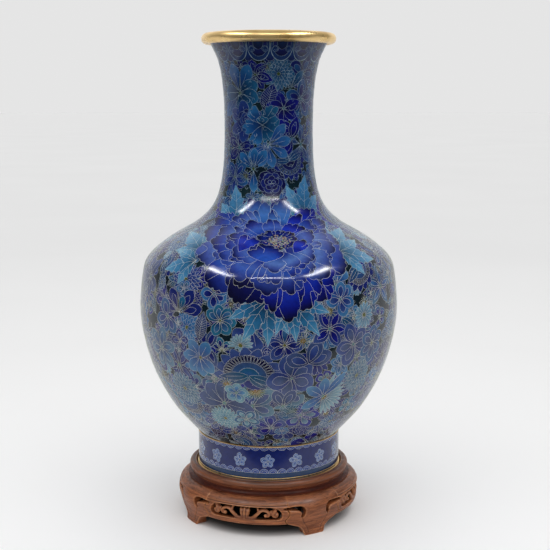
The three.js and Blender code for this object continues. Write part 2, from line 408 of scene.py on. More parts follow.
def half_mum(canvas, pose, size, stops, dome, bars=24):
    """A chrysanthemum seen from the side: petals behind a fringe of dark bars and a domed heart."""
    petals = 10
    for k in range(petals):
        way = -100 + 200 * k / (petals - 1)
        canvas.cell(pose, turned_by(petal(size, size * 0.4), way), stops, reach=size)
    rim = np.array([toward(way) for way in np.linspace(-104, 104, 17)])
    canvas.cell(pose, rim * size * 0.72, [SLATE, SLATE, PLUM], reach=size)
    for way in np.linspace(-100, 100, bars):
        start = toward(way) * size * 0.46
        canvas.cell(pose, turned_by(petal(size * 0.26, size * 0.085, "round", 5), way, start), [NAVY, NAVY])
    canvas.cell(pose, rim * size * 0.48, dome, centre=(0, -size * 0.1))
    canvas.cell(pose, rim * size * 0.28, dome[::-1], centre=(0, -size * 0.1))
    for side in (-1, 1):
        for way, share in ((128, 0.66), (104, 0.86)):
            sepal, tip = petal(size * share, size * 0.3, "pointed"), toward(side * way) * size
            canvas.cell(pose, turned_by(sepal, side * way), [TEAL, SLATE])
            canvas.stroke(pose, [tip * 0.15, tip * share * 0.75])


def rose(canvas, pose, size, stops):
    """A small double rose of overlapping round petals."""
    for ring, (share, petals) in enumerate(((1, 7), (0.74, 6), (0.5, 5), (0.28, 3))):
        reach = size * share
        for way in around(petals, 180 * ring / petals):
            outline = turned_by(petal(reach, reach * 0.95, "round", 8), way)
            canvas.cell(pose, outline, stops if ring % 2 else stops[::-1], reach=reach)


def leaf(canvas, pose, size, stops, veins=7, width=0.44):
    """A plain veined leaf that stands on its pose."""
    canvas.cell(pose, petal(size, size * width, "pointed", 11), stops, reach=size)
    canvas.stroke(pose, [(0, 0), (0, size * 0.45), (0, size * 0.93)])
    for k in range(veins):
        low = size * (0.1 + 0.68 * k / veins)
        spread = size * 0.42 * width * math.sin(math.pi * (low / size + 0.14))
        for side in (-1, 1):
            canvas.stroke(pose, [(0, low), (side * spread, low + size * 0.12)])


def toothed_leaf(canvas, pose, size, stops, lobes=3, spread=40, slim=0.48):
    """A palmate leaf of toothed lobes, each with a midrib and side veins."""
    for way in sorted(np.linspace(-spread, spread, lobes), key=lambda w: -abs(w)):
        reach = size * (1 - 0.2 * abs(way) / spread) * canvas.rng.uniform(0.94, 1.06)
        canvas.cell(pose, turned_by(serrated(reach, reach * slim), way), stops, reach=reach)
        canvas.stroke(pose, turned_by([(0, 0), (0.03 * reach, reach * 0.45), (0, reach * 0.9)], way))
        for share in (0.34, 0.58):
            for side in (-1, 1):
                vein = [(0, reach * share), (side * reach * 0.16, reach * (share + 0.13))]
                canvas.stroke(pose, turned_by(vein, way))


def spark(canvas, pose, size, rays=13, spread=360):
    """A starburst of fine gold rays with an amber eye."""
    for k in range(rays):
        way = spread * k / rays - spread / 2
        ray = turned_by(petal(size, size * 0.13, "pointed", 4), way)
        canvas.cell(pose, ray, [AMBER, LIME], wired=False)
        canvas.stroke(pose, [toward(way) * size * 0.12, toward(way) * size])
    canvas.cell(pose, disc(size * 0.16, 7), [AMBER, AMBER])


def curl(canvas, pose, size):
    """A small hooked wire in the ground."""
    angle = np.linspace(0, 1.5 * math.pi, 8)
    grow = size * (0.35 + 0.65 * angle / angle[-1])
    canvas.stroke(pose, np.stack([grow * np.cos(angle), grow * np.sin(angle)], axis=1))


def frilled(canvas, pose, base, tip, width, stops):
    """A ruffled petal from base to tip, some with a turned-over lip, and a crease to the base."""
    rng = canvas.rng
    base, tip = np.array(base, float), np.array(tip, float)
    long = math.hypot(*(tip - base))
    way = math.degrees(math.atan2(tip[0] - base[0], tip[1] - base[1]))
    lobe_width, deepest = 5.5, 2.4
    outline = ruffled(long, width, max(width / lobe_width, 2), min(deepest, 0.16 * long), rng)
    canvas.cell(pose, turned_by(outline, way, base), stops, centre=base, reach=long)
    edge = outline[3:-2]
    if rng.uniform() < 0.5:
        start = int(rng.integers(4, EDGE_POINTS - LIP_POINTS - 6))
        lip = edge[start:start + LIP_POINTS]
        under = lip[::-1] * (1 - 0.2 * np.sin(np.linspace(0, math.pi, LIP_POINTS)))[:, None]
        folded = turned_by(np.vstack([lip, under]), way, base)
        canvas.cell(pose, folded, [stops[-3], stops[-3], stops[-2]], centre=base, reach=long)
    end = edge[int(rng.integers(12, EDGE_POINTS - 12))]
    sway = rng.uniform(-0.16, 0.16) * width
    bends = ((0.96, 0), (0.85, 0.5), (0.7, 1), (0.5, 0.4))
    crease = [end * share + (bend * sway, 0) for share, bend in bends]
    canvas.stroke(pose, turned_by(crease, way, base))


def peony(canvas, pose):
    """A large peony with a dark hollow heart, most of its petals doubled.

    Each petal has a base, a tip, a width and its colours.
    """
    back = [
        ((-8, 8), (-10, 38), 20, PALE_PETAL), ((3, 8), (7, 37), 17, PALE_PETAL),
        ((8, 4), (29, 30), 22, DEEP_PETAL), ((-10, 4), (-42, 22), 28, ROYAL_PETAL),
        ((10, 2), (40, 15), 26, VIOLET_PETAL), ((-6, 6), (-24, 27), 20, PERI_PETAL),
    ]
    sides = [
        ((-10, 0), (-51, 4), 30, VIOLET_PETAL), ((10, 0), (46, -3), 32, PERI_PETAL),
        ((-10, -6), (-53, -19), 34, PERI_PETAL), ((10, -8), (49, -23), 32, VIOLET_PETAL),
        ((-8, -12), (-43, -38), 34, ROYAL_PETAL), ((10, -16), (36, -43), 30, DEEP_PETAL),
        ((-6, -14), (-24, -48), 30, NIGHT_PETAL), ((8, -18), (23, -50), 26, DEEP_PETAL),
        ((2, -20), (4, -58), 28, DEEP_PETAL),
    ]
    middle = [
        ((-4, 0), (-37, 13), 24, PERI_PETAL), ((5, 2), (32, 14), 24, ROYAL_PETAL),
        ((5, -3), (42, -5), 28, PERI_PETAL), ((-5, -4), (-43, -7), 30, ROYAL_PETAL),
        ((-5, -8), (-34, -26), 30, VIOLET_PETAL), ((6, -9), (36, -27), 31, PERI_PETAL),
        ((1, -10), (15, -39), 28, ROYAL_PETAL), ((-1, -10), (-11, -40), 30, VIOLET_PETAL),
    ]
    heart = [
        ((-3, 0), (-17, 19), 20, ROYAL_PETAL), ((4, 1), (18, 17), 20, DEEP_PETAL),
        ((0, 2), (-1, 22), 17, VIOLET_PETAL), ((4, -2), (28, 5), 20, VIOLET_PETAL),
        ((-4, -2), (-29, 4), 20, ROYAL_PETAL), ((5, -6), (26, -15), 24, PERI_PETAL),
        ((-5, -7), (-27, -14), 25, VIOLET_PETAL), ((2, -9), (5, -28), 28, PERI_PETAL),
    ]
    for ring in (back, sides, middle, heart):
        for base, tip, width, stops in ring:
            frilled(canvas, pose, base, tip, width, stops)
            if ring is not heart:
                turned = turned_by([np.subtract(tip, base)], canvas.rng.choice([-15, -9, 10, 16]))[0]
                second_tip = base + turned * canvas.rng.uniform(0.72, 0.84)
                frilled(canvas, pose, base, second_tip, width * 0.58, stops)
    hollow = np.array([2, 2])
    for way in around(9, 12):
        frilled(canvas, pose, toward(way) * 3 + hollow, toward(way) * (14, 10.5) + hollow, 10, NIGHT_PETAL)
    frilled(canvas, pose, (-24, -11), (-14, 6), 16, DEEP_PETAL)
    frilled(canvas, pose, (12, -12), (20, 0), 14, DEEP_PETAL)
    frilled(canvas, pose, (-7, -20), (-6, -3), 29, BOWL_PETAL)
    anthers, golden_angle = 52, 137.5
    for k in range(anthers):
        away = math.sqrt((k + 0.5) / anthers)
        at = toward(golden_angle * k) * (8.5, 6.5) * away * canvas.rng.uniform(0.8, 1.15) + (3, 0.5)
        if k % 2:
            canvas.stroke(pose, [at * 0.6 + (1, 0.2), at])
        canvas.cell(pose, disc(0.6, 6) + at, [CREAM, AMBER if k % 3 else LIME])


def scroll_edge(width, height, share=1.0):
    """The hanging rounded outline of a scroll head."""
    angle = np.radians(np.linspace(-90, 90, 15))
    return np.stack([width / 2 * share * np.sin(angle), -height * share * np.cos(angle) ** 0.75], axis=1)


def cloud_head(canvas, pose, width, height):
    """A hanging scroll head: nested lobes with a curl at each side."""
    for share, stops in ((1, [NAVY, STEEL, SLATE]), (0.8, [NAVY, VIOLET, NAVY]), (0.46, [STEEL, NAVY])):
        canvas.cell(pose, scroll_edge(width, height, share), stops, reach=height * share)
    for side in (-1, 1):
        turn = np.linspace(-0.5 * math.pi, 1.3 * math.pi, 10)
        size = 0.12 * width * (1 - 0.4 * np.linspace(0, 1, 10))
        middle = np.array([side * 0.28 * width, -0.42 * height])
        canvas.cell(pose, disc(0.14 * width, 10) + middle, [NAVY, STEEL])
        canvas.stroke(pose, np.stack([-side * size * np.sin(turn), size * np.cos(turn)], axis=1) + middle)


# ---------------------------------------------------------------- layout of the decoration


def scatter(rng, wall, gap, run_from, run_to, tries):
    """Random places at least `gap` mm apart, as pairs of turn in degrees and run in mm."""
    widest = wall.radius(np.linspace(run_from, run_to, 60)).max()
    turns, runs = np.zeros(0), np.zeros(0)
    for _ in range(tries):
        turn, run = rng.uniform(-180, 180), rng.uniform(run_from, run_to)
        radius = wall.radius(run)
        if rng.uniform(0, widest) > radius:
            continue
        across = np.radians((turns - turn + 180) % 360 - 180) * radius
        if np.all(across**2 + (runs - run) ** 2 > gap**2):
            turns, runs = np.append(turns, turn), np.append(runs, run)
    return list(zip(turns, runs))


def any_flower(canvas, pose, size):
    """A flower of a random kind and colour."""
    rng = canvas.rng
    stops = BLUES[rng.integers(len(BLUES))]
    inner = BLUES[rng.integers(len(BLUES))] if rng.uniform() < 0.75 else None
    kind = rng.integers(10)
    pose.squash = rng.uniform(0.75, 1)
    if kind < 5:
        count = int(rng.integers(5, 8))
        missing = rng.integers(3)
        ways = around(count)[:count - missing]
        shape = ("round", "spoon", "pointed", "notched", "spoon")[kind]
        fan(canvas, pose, size, size * (0.62 if count > 5 else 0.74), ways, stops, shape, inner)
    elif kind == 5:
        daisy(canvas, pose, size * 0.75, [SLATE, PALE, WHITE] if rng.uniform() < 0.4 else stops)
    elif kind == 6:
        mum(canvas, pose, size * 0.85, [NAVY, SLATE, PALE] if rng.uniform() < 0.4 else stops)
    elif kind == 7:
        half_mum(canvas, pose, size * 1.25, stops, [TEAL, STEEL, SLATE], 18)
    elif kind == 8:
        rose(canvas, pose, size * 0.8, stops)
    else:
        fan(canvas, pose, size * 1.3, size * 0.55, around(5), stops, "pointed", inner)


def millefleur(canvas, run_to):
    """Flowers and leaves of every kind, laid thickly over the dark ground from the foot up."""
    wall, rng = canvas.wall, canvas.rng
    for turn, run in scatter(rng, wall, 5, 0, run_to, 6000):
        curl(canvas, Pose(turn, run, rng.uniform(0, 360)), rng.uniform(1, 1.8))
    for turn, run in scatter(rng, wall, 10, 0, run_to, 5000):
        stops = LEAVES[rng.integers(len(LEAVES))]
        leaf(canvas, Pose(turn, run, rng.uniform(0, 360)), rng.uniform(13, 19), stops)
    for gap, share, tries, small, large in (
            (12.5, 1, 6000, 8.5, 12), (22, 1, 3000, 12, 16), (21, 0.6, 4000, 5, 7)):
        for turn, run in scatter(rng, wall, gap, 0, share * run_to, tries):
            any_flower(canvas, Pose(turn, run, rng.uniform(0, 360)), rng.uniform(small, large))
    for turn, run in scatter(rng, wall, 27, 0, run_to, 3000):
        spark(canvas, Pose(turn, run), rng.uniform(3.2, 4.4))


def on_side(side):
    """Makes poses whose turn is counted from the middle of a side."""
    return lambda turn, run, lean=0, squash=1.0: Pose(side + turn, run, lean, squash)


def belly_flowers(canvas, side):
    """The flowers below and beside the peony, placed one by one."""
    at = on_side(side)
    half_mum(canvas, at(-8.5, 68, 8, 0.85), 24, VIOLETS, [TEAL, STEEL, SLATE])
    fan(canvas, at(-8, 44, 118, 0.8), 20, 11, (0, 60, -60), MISTY, "round", SLATES)
    fan(canvas, at(-22, 45, 0), 19, 12, (-75, -30, 10, 110, 175), SLATES, "round")
    fan(canvas, at(-26, 86, 0), 15, 8, (-160, -25, 160, 25), SLATES, "pointed", NIGHTS)
    leaf(canvas, at(-30, 90, 12), 20, SLATES, 9)
    fan(canvas, at(-40, 107), 18, 9, (-30, 32, 74, -75), NIGHTS, "spoon", NIGHTS, 0)
    fan(canvas, at(-40, 107, 15), 12, 6, (0,), TEALS, "spoon", None, 0)
    fan(canvas, at(-47, 103), 13, 9, (-20, 150, 205, 250), STEELS, "round", VIOLETS)
    fan(canvas, at(-23, 121.5), 10.5, 8.5, (-95, 120, 180, 60), SKIES, "round", NIGHTS)
    fan(canvas, at(-20, 104.5), 11.5, 8, (-60, -5, 50, 95, 145, 200), TEALS, "round", STEELS)
    fan(canvas, at(-30, 78.5, 10), 13.5, 8.5, (-42, -95, 215, 172, 128, 20), SKIES, "round", None, 0.12)
    fan(canvas, at(-40, 88), 8, 6, (0, 80, 150, -90), NIGHTS, "round", VIOLETS)
    rose(canvas, at(-11, 114.5), 7.5, SLATES)
    spark(canvas, at(-7.5, 105.5), 4.5)
    spark(canvas, at(-15.5, 115.5), 3.8)
    daisy(canvas, at(-11.5, 89, 0), 8.5, WHITES, 11, 190)
    spark(canvas, at(-19, 61), 5)
    spark(canvas, at(-6, 57, 180), 7, 13, 190)
    fan(canvas, at(-15, 54.5), 8.5, 7, around(5, 15), PALES, "round", SKIES, 0.14)
    mum(canvas, at(-24, 31), 11, PALES)
    fan(canvas, at(-12, 32), 9, 6, around(5, 40), STEELS, "round", PALES)
    fan(canvas, at(6.5, 89.5), 13, 8, (-85, -140, 95, 150), VIOLETS, "round", NIGHTS)
    fan(canvas, at(6.5, 89.5, 4), 15, 7.5, (0,), DEEPS, "round", STEELS)
    fan(canvas, at(10, 66), 17, 14, (-12, 52, 115, 195, 262), VIOLETS, "round", SLATES, 0.07)
    fan(canvas, at(17, 76), 17, 11, (65, -75, 20), SLATES, "round", VIOLETS, 0)
    fan(canvas, at(25.5, 98.5), 15, 8.5, (-30, 35, 100, 150, 235), VIOLETS, "pointed", DEEPS)
    spark(canvas, at(14, 92), 5.5)
    spark(canvas, at(25.5, 110), 5.5)
    fan(canvas, at(31, 117), 12, 8.5, (-50, -100, 170, 50, 110, 10), SKIES, "round", VIOLETS)
    daisy(canvas, at(43.5, 104.5), 9, WHITES, 15)
    fan(canvas, at(38, 86), 15, 10, (-25, 45, 100, 200, 260), VIOLETS, "round", SLATES)
    daisy(canvas, at(26.5, 50, 95), 18, WHITES, 13, 150)
    fan(canvas, at(26.5, 50), 24, 6.5, (38,), SKIES, "round", None, 0)
    fan(canvas, at(26.5, 50), 15, 8, (-2, -55, -125), SKIES, "round", None)
    fan(canvas, at(7, 44), 14, 8, (-30, 25), SLATES, "round", SLATES)
    mum(canvas, at(44, 62), 12, MISTY)
    fan(canvas, at(50, 84), 13, 9, around(6), STEELS, "round", SLATES)
    fan(canvas, at(-54, 80), 15, 9, around(6, 20), MISTY, "round", STEELS)
    mum(canvas, at(-44, 52), 13, MISTY)


def neck_flowers(canvas, side):
    """The flowers up the neck, placed one by one over a dark green ground."""
    at, rng = on_side(side), canvas.rng
    canvas.cell(at(0, 250), [(-42, -48), (42, -48), (32, -30), (32, 44), (-32, 44), (-32, -30)],
                [GREEN, GROUND, GREEN], wired=False)
    for turn, run in scatter(rng, canvas.wall, 4.5, 200, 296, 3000):
        curl(canvas, Pose(turn, run, rng.uniform(0, 360)), rng.uniform(1, 1.8))
    for turn, run in scatter(rng, canvas.wall, 8.5, 202, 292, 4000):
        if abs(turn) < 75:
            stops = NECK_BLUES[rng.integers(len(NECK_BLUES))]
            small = rng.uniform(5, 8)
            pose = at(turn, run, rng.uniform(0, 360))
            fan(canvas, pose, small, small * 0.6, around(5)[:3 + rng.integers(3)], stops, "round")
    fan(canvas, at(44, 285), 12, 8, around(5, 20), NIGHTS, "round", STEELS)
    fan(canvas, at(27, 274), 15, 6, (0, 40, 180, -35), TEALS, "spoon")
    fan(canvas, at(44, 268), 13, 8, around(5), STEELS, "round", NIGHTS)
    fan(canvas, at(-40, 236), 12, 7, around(5, 10), NIGHTS, "round", NIGHTS)
    fan(canvas, at(-45, 216), 13, 7, around(5, 36), STEELS, "round", VIOLETS)
    fan(canvas, at(45, 238), 14, 7, around(5), STEELS, "spoon", SLATES)
    mum(canvas, at(11.5, 284.5), 11, MISTY)
    fan(canvas, at(-16, 284), 12, 7.5, (-80, -20, 50, 108), DEEPS, "pointed", NIGHTS)
    leaf(canvas, at(-4, 259, 16), 20, NIGHTS, 10, 0.6)
    fan(canvas, at(-38, 272), 22, 9.5, (-14, 24, 196, 228), LILIES, "spoon", None, 0.06)
    fan(canvas, at(-38, 272), 15, 11, (64, 110, 160, 270), TEALS, "round", None, 0.08)
    fan(canvas, at(-31, 253), 14, 8, (-60, -8, 190, 240, 60, 120), VIOLETS, "round")
    rose(canvas, at(-29, 254), 7.5, VIOLETS)
    fan(canvas, at(19, 262), 13, 7.5, (-18, -75, -135, 180, 125, 70), DEEPS, "pointed", None, 0.08)
    for tip, width in (((-9, 11), 10), ((8, 13), 10), ((-14, -2), 12), ((12, 1), 12), ((-6, -13), 11),
                       ((6, -11), 10), ((0, 6), 9)):
        frilled(canvas, at(-8, 251), (0, 0), tip, width, LILIES if tip[0] < 0 else TEALS)
    fan(canvas, at(30, 242), 15, 9, (-35, 22, 205), DEEPS, "pointed", DEEPS, 0.06)
    half_mum(canvas, at(27, 227, 165), 13, NIGHTS, [NAVY, PLUM], 14)
    fan(canvas, at(-1, 238), 17, 7, (42, 80, 120, 165, 200, 238), SKIES, "spoon", None, 0.06)
    fan(canvas, at(-19, 222), 15, 6, (0, 38, 175, -45), LILIES, "spoon", None)
    spark(canvas, at(-29, 217), 4.5)
    rose(canvas, at(3.5, 212.5), 10, NIGHTS)
    spark(canvas, at(-2, 289), 4)


def front_group(canvas, side):
    """The big peony with the leaves round it."""
    at = on_side(side)
    for turn, run, lean, size in ((-31, 184, -14, 27), (36, 190, 16, 28), (-38, 153, -60, 31),
                                  (-36, 143, -112, 27), (38, 157, 55, 31), (39, 151, 112, 31)):
        toothed_leaf(canvas, at(turn, run, lean), size, PALE_FROND)
    for turn, lean in ((0, 212), (9, 142)):
        toothed_leaf(canvas, at(turn, 119, lean), 32, FROND, 5, 62, 0.34)
    peony(canvas, at(3.5, 164))


# Share of red, green and blue that the enamel keeps at each run in mm: partly a colour tint, and partly
# painted shade, darkest up the neck and at the bottom of the body. The share lost at the two sides is painted
# shade as well
PAINTED_SHADE_AND_TINT = [(0, 0.34, 0.50, 0.62), (30, 0.68, 0.90, 0.92), (70, 0.62, 0.86, 0.90), (120, 0.34, 0.66, 0.86),
         (160, 0.86, 1.0, 0.98), (190, 0.60, 0.84, 0.94), (215, 0.20, 0.50, 0.78), (307, 0.14, 0.36, 0.56)]
SIDE_SHADE = np.array([0.45, 0.3, 0.12])


def shade_and_tint(canvas):
    """Tints the paint by run and darkens it with painted shade: most up the neck, at the bottom of the body
    and at the two sides.
    """
    table = np.array(PAINTED_SHADE_AND_TINT)
    runs = np.arange(canvas.rows) * canvas.row_mm
    kept = np.stack([np.interp(runs, table[:, 0], table[:, k]) for k in (1, 2, 3)], axis=1)
    sides = np.sin(np.arange(canvas.columns) / canvas.columns * FULL) ** 2
    canvas.paint *= kept[:, None, :] * (1 - sides[:, None] * SIDE_SHADE)


# Scroll heads under the lip: how many, degrees to the first one, their width and height in mm, and
# those of the plain scrolls that show between them
CLOUD_HEADS, CLOUD_START, CLOUD_SIZE, TUCKED_SIZE = 15, -10.5, (15.5, 14.0), (11, 14.5)
# Places round each painted skin
COLUMNS = 2048


def paint_vase():
    """Flowers all over, a placed group at front and back, and scroll heads under the lip."""
    canvas = Canvas(vase_wall, GROUND, COLUMNS, row_mm=0.35, seed=11)
    millefleur(canvas, vase_wall.run_at(border_low[2]))
    for side in (0, 180):
        belly_flowers(canvas, side)
        neck_flowers(canvas, side)
        front_group(canvas, side)
    for way in around(CLOUD_HEADS, CLOUD_START + 180 / CLOUD_HEADS):
        canvas.cell(Pose(way, vase_wall.length), scroll_edge(*TUCKED_SIZE), [NAVY, STEEL, PLUM])
    for way in around(CLOUD_HEADS, CLOUD_START):
        cloud_head(canvas, Pose(way, vase_wall.length), *CLOUD_SIZE)
    # Painted shade and a colour tint over the whole painted skin
    shade_and_tint(canvas)
    return canvas


def paint_foot():
    """Deep blue band with five-petalled blossoms between two rows of scallops."""
    canvas = Canvas(foot_wall, colour("0a1c60"), COLUMNS, row_mm=0.2, seed=5)
    tall = foot_wall.length
    scallops, blossoms = 52, 16
    ledge, half_turn = 0.2 * tall, 200
    strip = [(-half_turn, -1), (half_turn, -1), (half_turn, ledge), (-half_turn, ledge)]
    canvas.cell(Pose(0, 0), strip, [colour("04305c")] * 2, wired=False)
    for k in range(scallops):
        turn = 360 * (k + 0.5) / scallops
        half = FULL * foot_wall.radius(0) / scallops / 2
        for share, stops in ((1, SCALLOPS), (0.6, SCALLOPS[::-1])):
            bow = np.array([toward(way) for way in np.linspace(-90, 90, 11)]) * half * share
            canvas.cell(Pose(turn, ledge), bow, stops)
            canvas.cell(Pose(turn, tall), bow * (1, -0.85), stops)
    for k in range(blossoms):
        pose = Pose(360 * k / blossoms - 0.5, 0.56 * tall, 12 * math.sin(5 * k))
        fan(canvas, pose, 4.9, 3.6, around(5), BLOOMS, "round", BLOOMS[::-1], None)
        canvas.cell(pose, disc(1.1, 9), BLOOMS[::-1])
        canvas.cell(pose, disc(0.5, 6), [NAVY, NAVY])
    return canvas


# ---------------------------------------------------------------- meshes from skins


def new_object(name, points, faces, smooth=True):
    """A mesh object from vertices in millimetres and an array of faces of equal size."""
    faces = np.asarray(faces)
    mesh = bpy.data.meshes.new(name)
    mesh.vertices.add(len(points))
    mesh.vertices.foreach_set("co", np.asarray(points, np.float32).ravel() * MM)
    size = faces.shape[1]
    mesh.loops.add(faces.size)
    mesh.loops.foreach_set("vertex_index", faces.ravel().astype(np.int32))
    mesh.polygons.add(len(faces))
    mesh.polygons.foreach_set("loop_start", np.arange(0, faces.size, size, dtype=np.int32))
    mesh.polygons.foreach_set("use_smooth", np.full(len(faces), smooth))
    mesh.update(calc_edges=True)
    mesh.validate()
    piece = bpy.data.objects.new(name, mesh)
    bpy.context.scene.collection.objects.link(piece)
    return piece


def dress(piece, material, body, slot, *nodes):
    """Material, body and replaced nodes of a piece; the finish slot is not used."""
    piece.data.materials.append(material)
    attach(piece, body)
    if nodes:
        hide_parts(*nodes)


def grid_faces(rows, columns):
    """Quads over a grid of vertices, counter-clockwise seen from outside."""
    corner = np.arange(rows * columns).reshape(rows, columns)
    ring = [corner[:-1, :-1], corner[:-1, 1:], corner[1:, 1:], corner[1:, :-1]]
    return np.stack(ring, axis=-1).reshape(-1, 4)


ROW_STEP = 2


def skin(name, canvas, row_from, row_to, col_from, col_to, step):
    """A patch of painted skin between two rows and two columns of its canvas."""
    rows = np.unique(np.append(np.arange(row_from, row_to, ROW_STEP), row_to))
    columns = np.arange(col_from, col_to + 1, step)
    run, turn = np.meshgrid(rows * canvas.row_mm, columns / canvas.columns * FULL, indexing="ij")
    points, _ = canvas.wall.frame_at(turn, run)
    piece = new_object(name, points.reshape(-1, 3), grid_faces(len(rows), len(columns)))
    paint = np.ones((len(rows), len(columns), 4), np.float32)
    paint[..., :3] = canvas.paint[rows][:, columns % canvas.columns]
    layer = piece.data.color_attributes.new("paint", "FLOAT_COLOR", "POINT")
    layer.data.foreach_set("color", paint.ravel())
    return piece


def wire_runs(canvas, step):
    """Every visible stretch of wire as (turn, run) points about `step` mm apart."""
    stretches = []
    for order, turn, run, closed in canvas.strokes:
        if closed:
            turn, run = np.append(turn, turn[0]), np.append(run, run[0])
        radius = canvas.wall.radius(run.mean())
        lengths = np.concatenate([[0], np.cumsum(np.hypot(np.diff(turn) * radius, np.diff(run)))])
        count = max(int(lengths[-1] / step) + 1, 4)
        at = np.linspace(0, lengths[-1], count)
        turn, run = np.interp(at, lengths, turn), np.interp(at, lengths, run)
        row = np.round(run / canvas.row_mm).astype(int)
        column = np.round(turn / FULL * canvas.columns).astype(int) % canvas.columns
        seen = (row >= 0) & (row < canvas.rows)
        seen[seen] = canvas.order[row[seen], column[seen]] <= order
        edges = np.flatnonzero(np.diff(np.concatenate([[0], seen.astype(int), [0]])))
        for start, stop in zip(edges[::2], edges[1::2]):
            if stop - start > 1:
                stretches.append((turn[start:stop], run[start:stop]))
    return stretches


def wires(name, canvas, stretches, width, proud, sunk):
    """Thin wires with a rounded crown, laid in the skin along the stretches."""
    sizes = [len(turn) for turn, _ in stretches]
    turn = np.concatenate([turn for turn, _ in stretches])
    run = np.concatenate([run for _, run in stretches])
    points, normals = canvas.wall.frame_at(turn, run)
    along = np.zeros_like(points)
    along[1:-1] = points[2:] - points[:-2]
    ends = np.cumsum(sizes)
    starts = ends - sizes
    along[starts] = points[starts + 1] - points[starts]
    along[ends - 1] = points[ends - 1] - points[ends - 2]
    along /= np.maximum(np.linalg.norm(along, axis=1, keepdims=True), 1e-9)
    side = np.cross(along, normals) * width / 2
    foot = points - normals * sunk
    corners = np.stack([foot - side, points + normals * proud, foot + side], axis=1).reshape(-1, 3)
    first = 3 * np.setdiff1d(np.arange(len(points)), ends - 1)
    faces = [3 * starts[:, None] + [0, 2, 1], 3 * (ends - 1)[:, None] + [0, 1, 2]]
    for a, b in ((0, 1), (1, 2), (2, 0)):
        faces.append(first[:, None] + [a, b, 3 + b])
        faces.append(first[:, None] + [a, 3 + b, 3 + a])
    return new_object(name, corners, np.concatenate(faces))


# ---------------------------------------------------------------- materials


class Nodes:
    """A material's node tree, with short ways to add and join nodes."""

    def __init__(self, name, **settings):
        self.material = bpy.data.materials.new(name)
        self.material.use_nodes = True
        self.tree = self.material.node_tree
        self.shader = self.tree.nodes["Principled BSDF"]
        for key, value in settings.items():
            self.join(value, key.replace("_", " "))

    def feed(self, socket, value):
        """Links a socket to another node's output, or sets it to a value."""
        if isinstance(value, bpy.types.NodeSocket):
            self.tree.links.new(value, socket)
        else:
            socket.default_value = value

    def join(self, value, key):
        self.feed(self.shader.inputs[key], value)

    def add(self, kind, options=None, **inputs):
        node = self.tree.nodes.new(kind)
        for key, value in (options or {}).items():
            setattr(node, key, value)
        for key, value in inputs.items():
            self.feed(node.inputs[key.replace("_", " ")], value)
        return node

    def place(self, scale):
        """Object coordinates in millimetres times a scale, or a scale per axis."""
        coordinates = self.add("ShaderNodeTexCoord").outputs["Object"]
        sizes = tuple(np.ones(3) * scale / MM)
        return self.add("ShaderNodeMapping", Vector=coordinates, Scale=sizes).outputs["Vector"]

    def noise(self, scale, detail=3.0, roughness=0.5, distortion=0.0):
        return self.add("ShaderNodeTexNoise", Vector=self.place(scale), Scale=1.0, Detail=detail,
                        Roughness=roughness, Distortion=distortion).outputs["Fac"]

    def ramp(self, value, stops):
        """Colour ramp through (position, colour) pairs."""
        node = self.add("ShaderNodeValToRGB", Fac=value)
        elements = node.color_ramp.elements
        while len(elements) < len(stops):
            elements.new(0.5)
        for element, (position, tint) in zip(elements, stops):
            element.position = position
            element.color = (*tint, 1)
        return node.outputs["Color"]

    def span(self, value, low, high, start=0.0, end=1.0):
        """Moves a value from the range start..end to low..high, held at the ends."""
        node = self.add("ShaderNodeMapRange", Value=value, From_Min=start, From_Max=end,
                        To_Min=low, To_Max=high)
        return node.outputs["Result"]

    def mix(self, share, first, second, blend="MIX"):
        node = self.add("ShaderNodeMix", {"data_type": "RGBA", "blend_type": blend})
        for key, value in ((0, share), (6, first), (7, second)):
            whole = isinstance(value, bpy.types.NodeSocket) or np.isscalar(value)
            self.feed(node.inputs[key], value if whole else (*value, 1))
        return node.outputs[2]

    def rough(self, scale, low, high, detail=3.0):
        """Roughness that wanders between two values."""
        self.join(self.span(self.noise(scale, detail), low, high, 0.35, 0.65), "Roughness")

    def wear(self, strength, distance_mm, value):
        """Bump from a value, joined to the shader's normal."""
        node = self.add("ShaderNodeBump", Strength=strength, Distance=distance_mm * MM, Height=value)
        self.join(node.outputs["Normal"], "Normal")


def grey(level):
    return (level, level, level)


def enamel_material():
    """Fused glass in the painted colours, with soft mottling and a few firing pits."""
    nodes = Nodes("enamel", IOR=1.47)
    paint = nodes.add("ShaderNodeAttribute", {"attribute_name": "paint"}).outputs["Color"]
    mottle = nodes.ramp(nodes.noise(0.35, 4, 0.6), [(0.3, grey(0.78)), (0.7, grey(1.15))])
    tinted = nodes.mix(1.0, paint, mottle, "MULTIPLY")
    pits = nodes.span(nodes.noise(1.6, 2), 0, 1, 0.72, 0.78)
    nodes.join(nodes.mix(pits, tinted, (0.004, 0.006, 0.012)), "Base Color")
    nodes.rough(0.12, 0.08, 0.2)
    nodes.wear(0.12, 0.05, nodes.noise(0.5))
    return nodes.material


def plain_enamel_material(name, first, second):
    """One-colour enamel, mottled, with an orange-peel surface."""
    nodes = Nodes(name, IOR=1.5)
    nodes.join(nodes.ramp(nodes.noise(0.25, 4, 0.6), [(0.3, first), (0.7, second)]), "Base Color")
    nodes.rough(0.4, 0.1, 0.3)
    nodes.wear(0.3, 0.1, nodes.noise(0.8, 2))
    return nodes.material


def gilt_material(name, light, dark):
    """Gilded copper with a few dark pits and rubbed patches."""
    nodes = Nodes(name, Metallic=0.65)
    rubbed = nodes.ramp(nodes.noise((0.05, 0.05, 0.1), 2), [(0.3, dark), (0.55, light)])
    pits = nodes.span(nodes.noise(0.5, 2, 0.4), 0, 1, 0.73, 0.76)
    nodes.join(nodes.mix(pits, rubbed, dark * 0.3), "Base Color")
    nodes.rough(0.1, 0.26, 0.34, 2)
    nodes.wear(0.1, 0.03, pits)
    return nodes.material


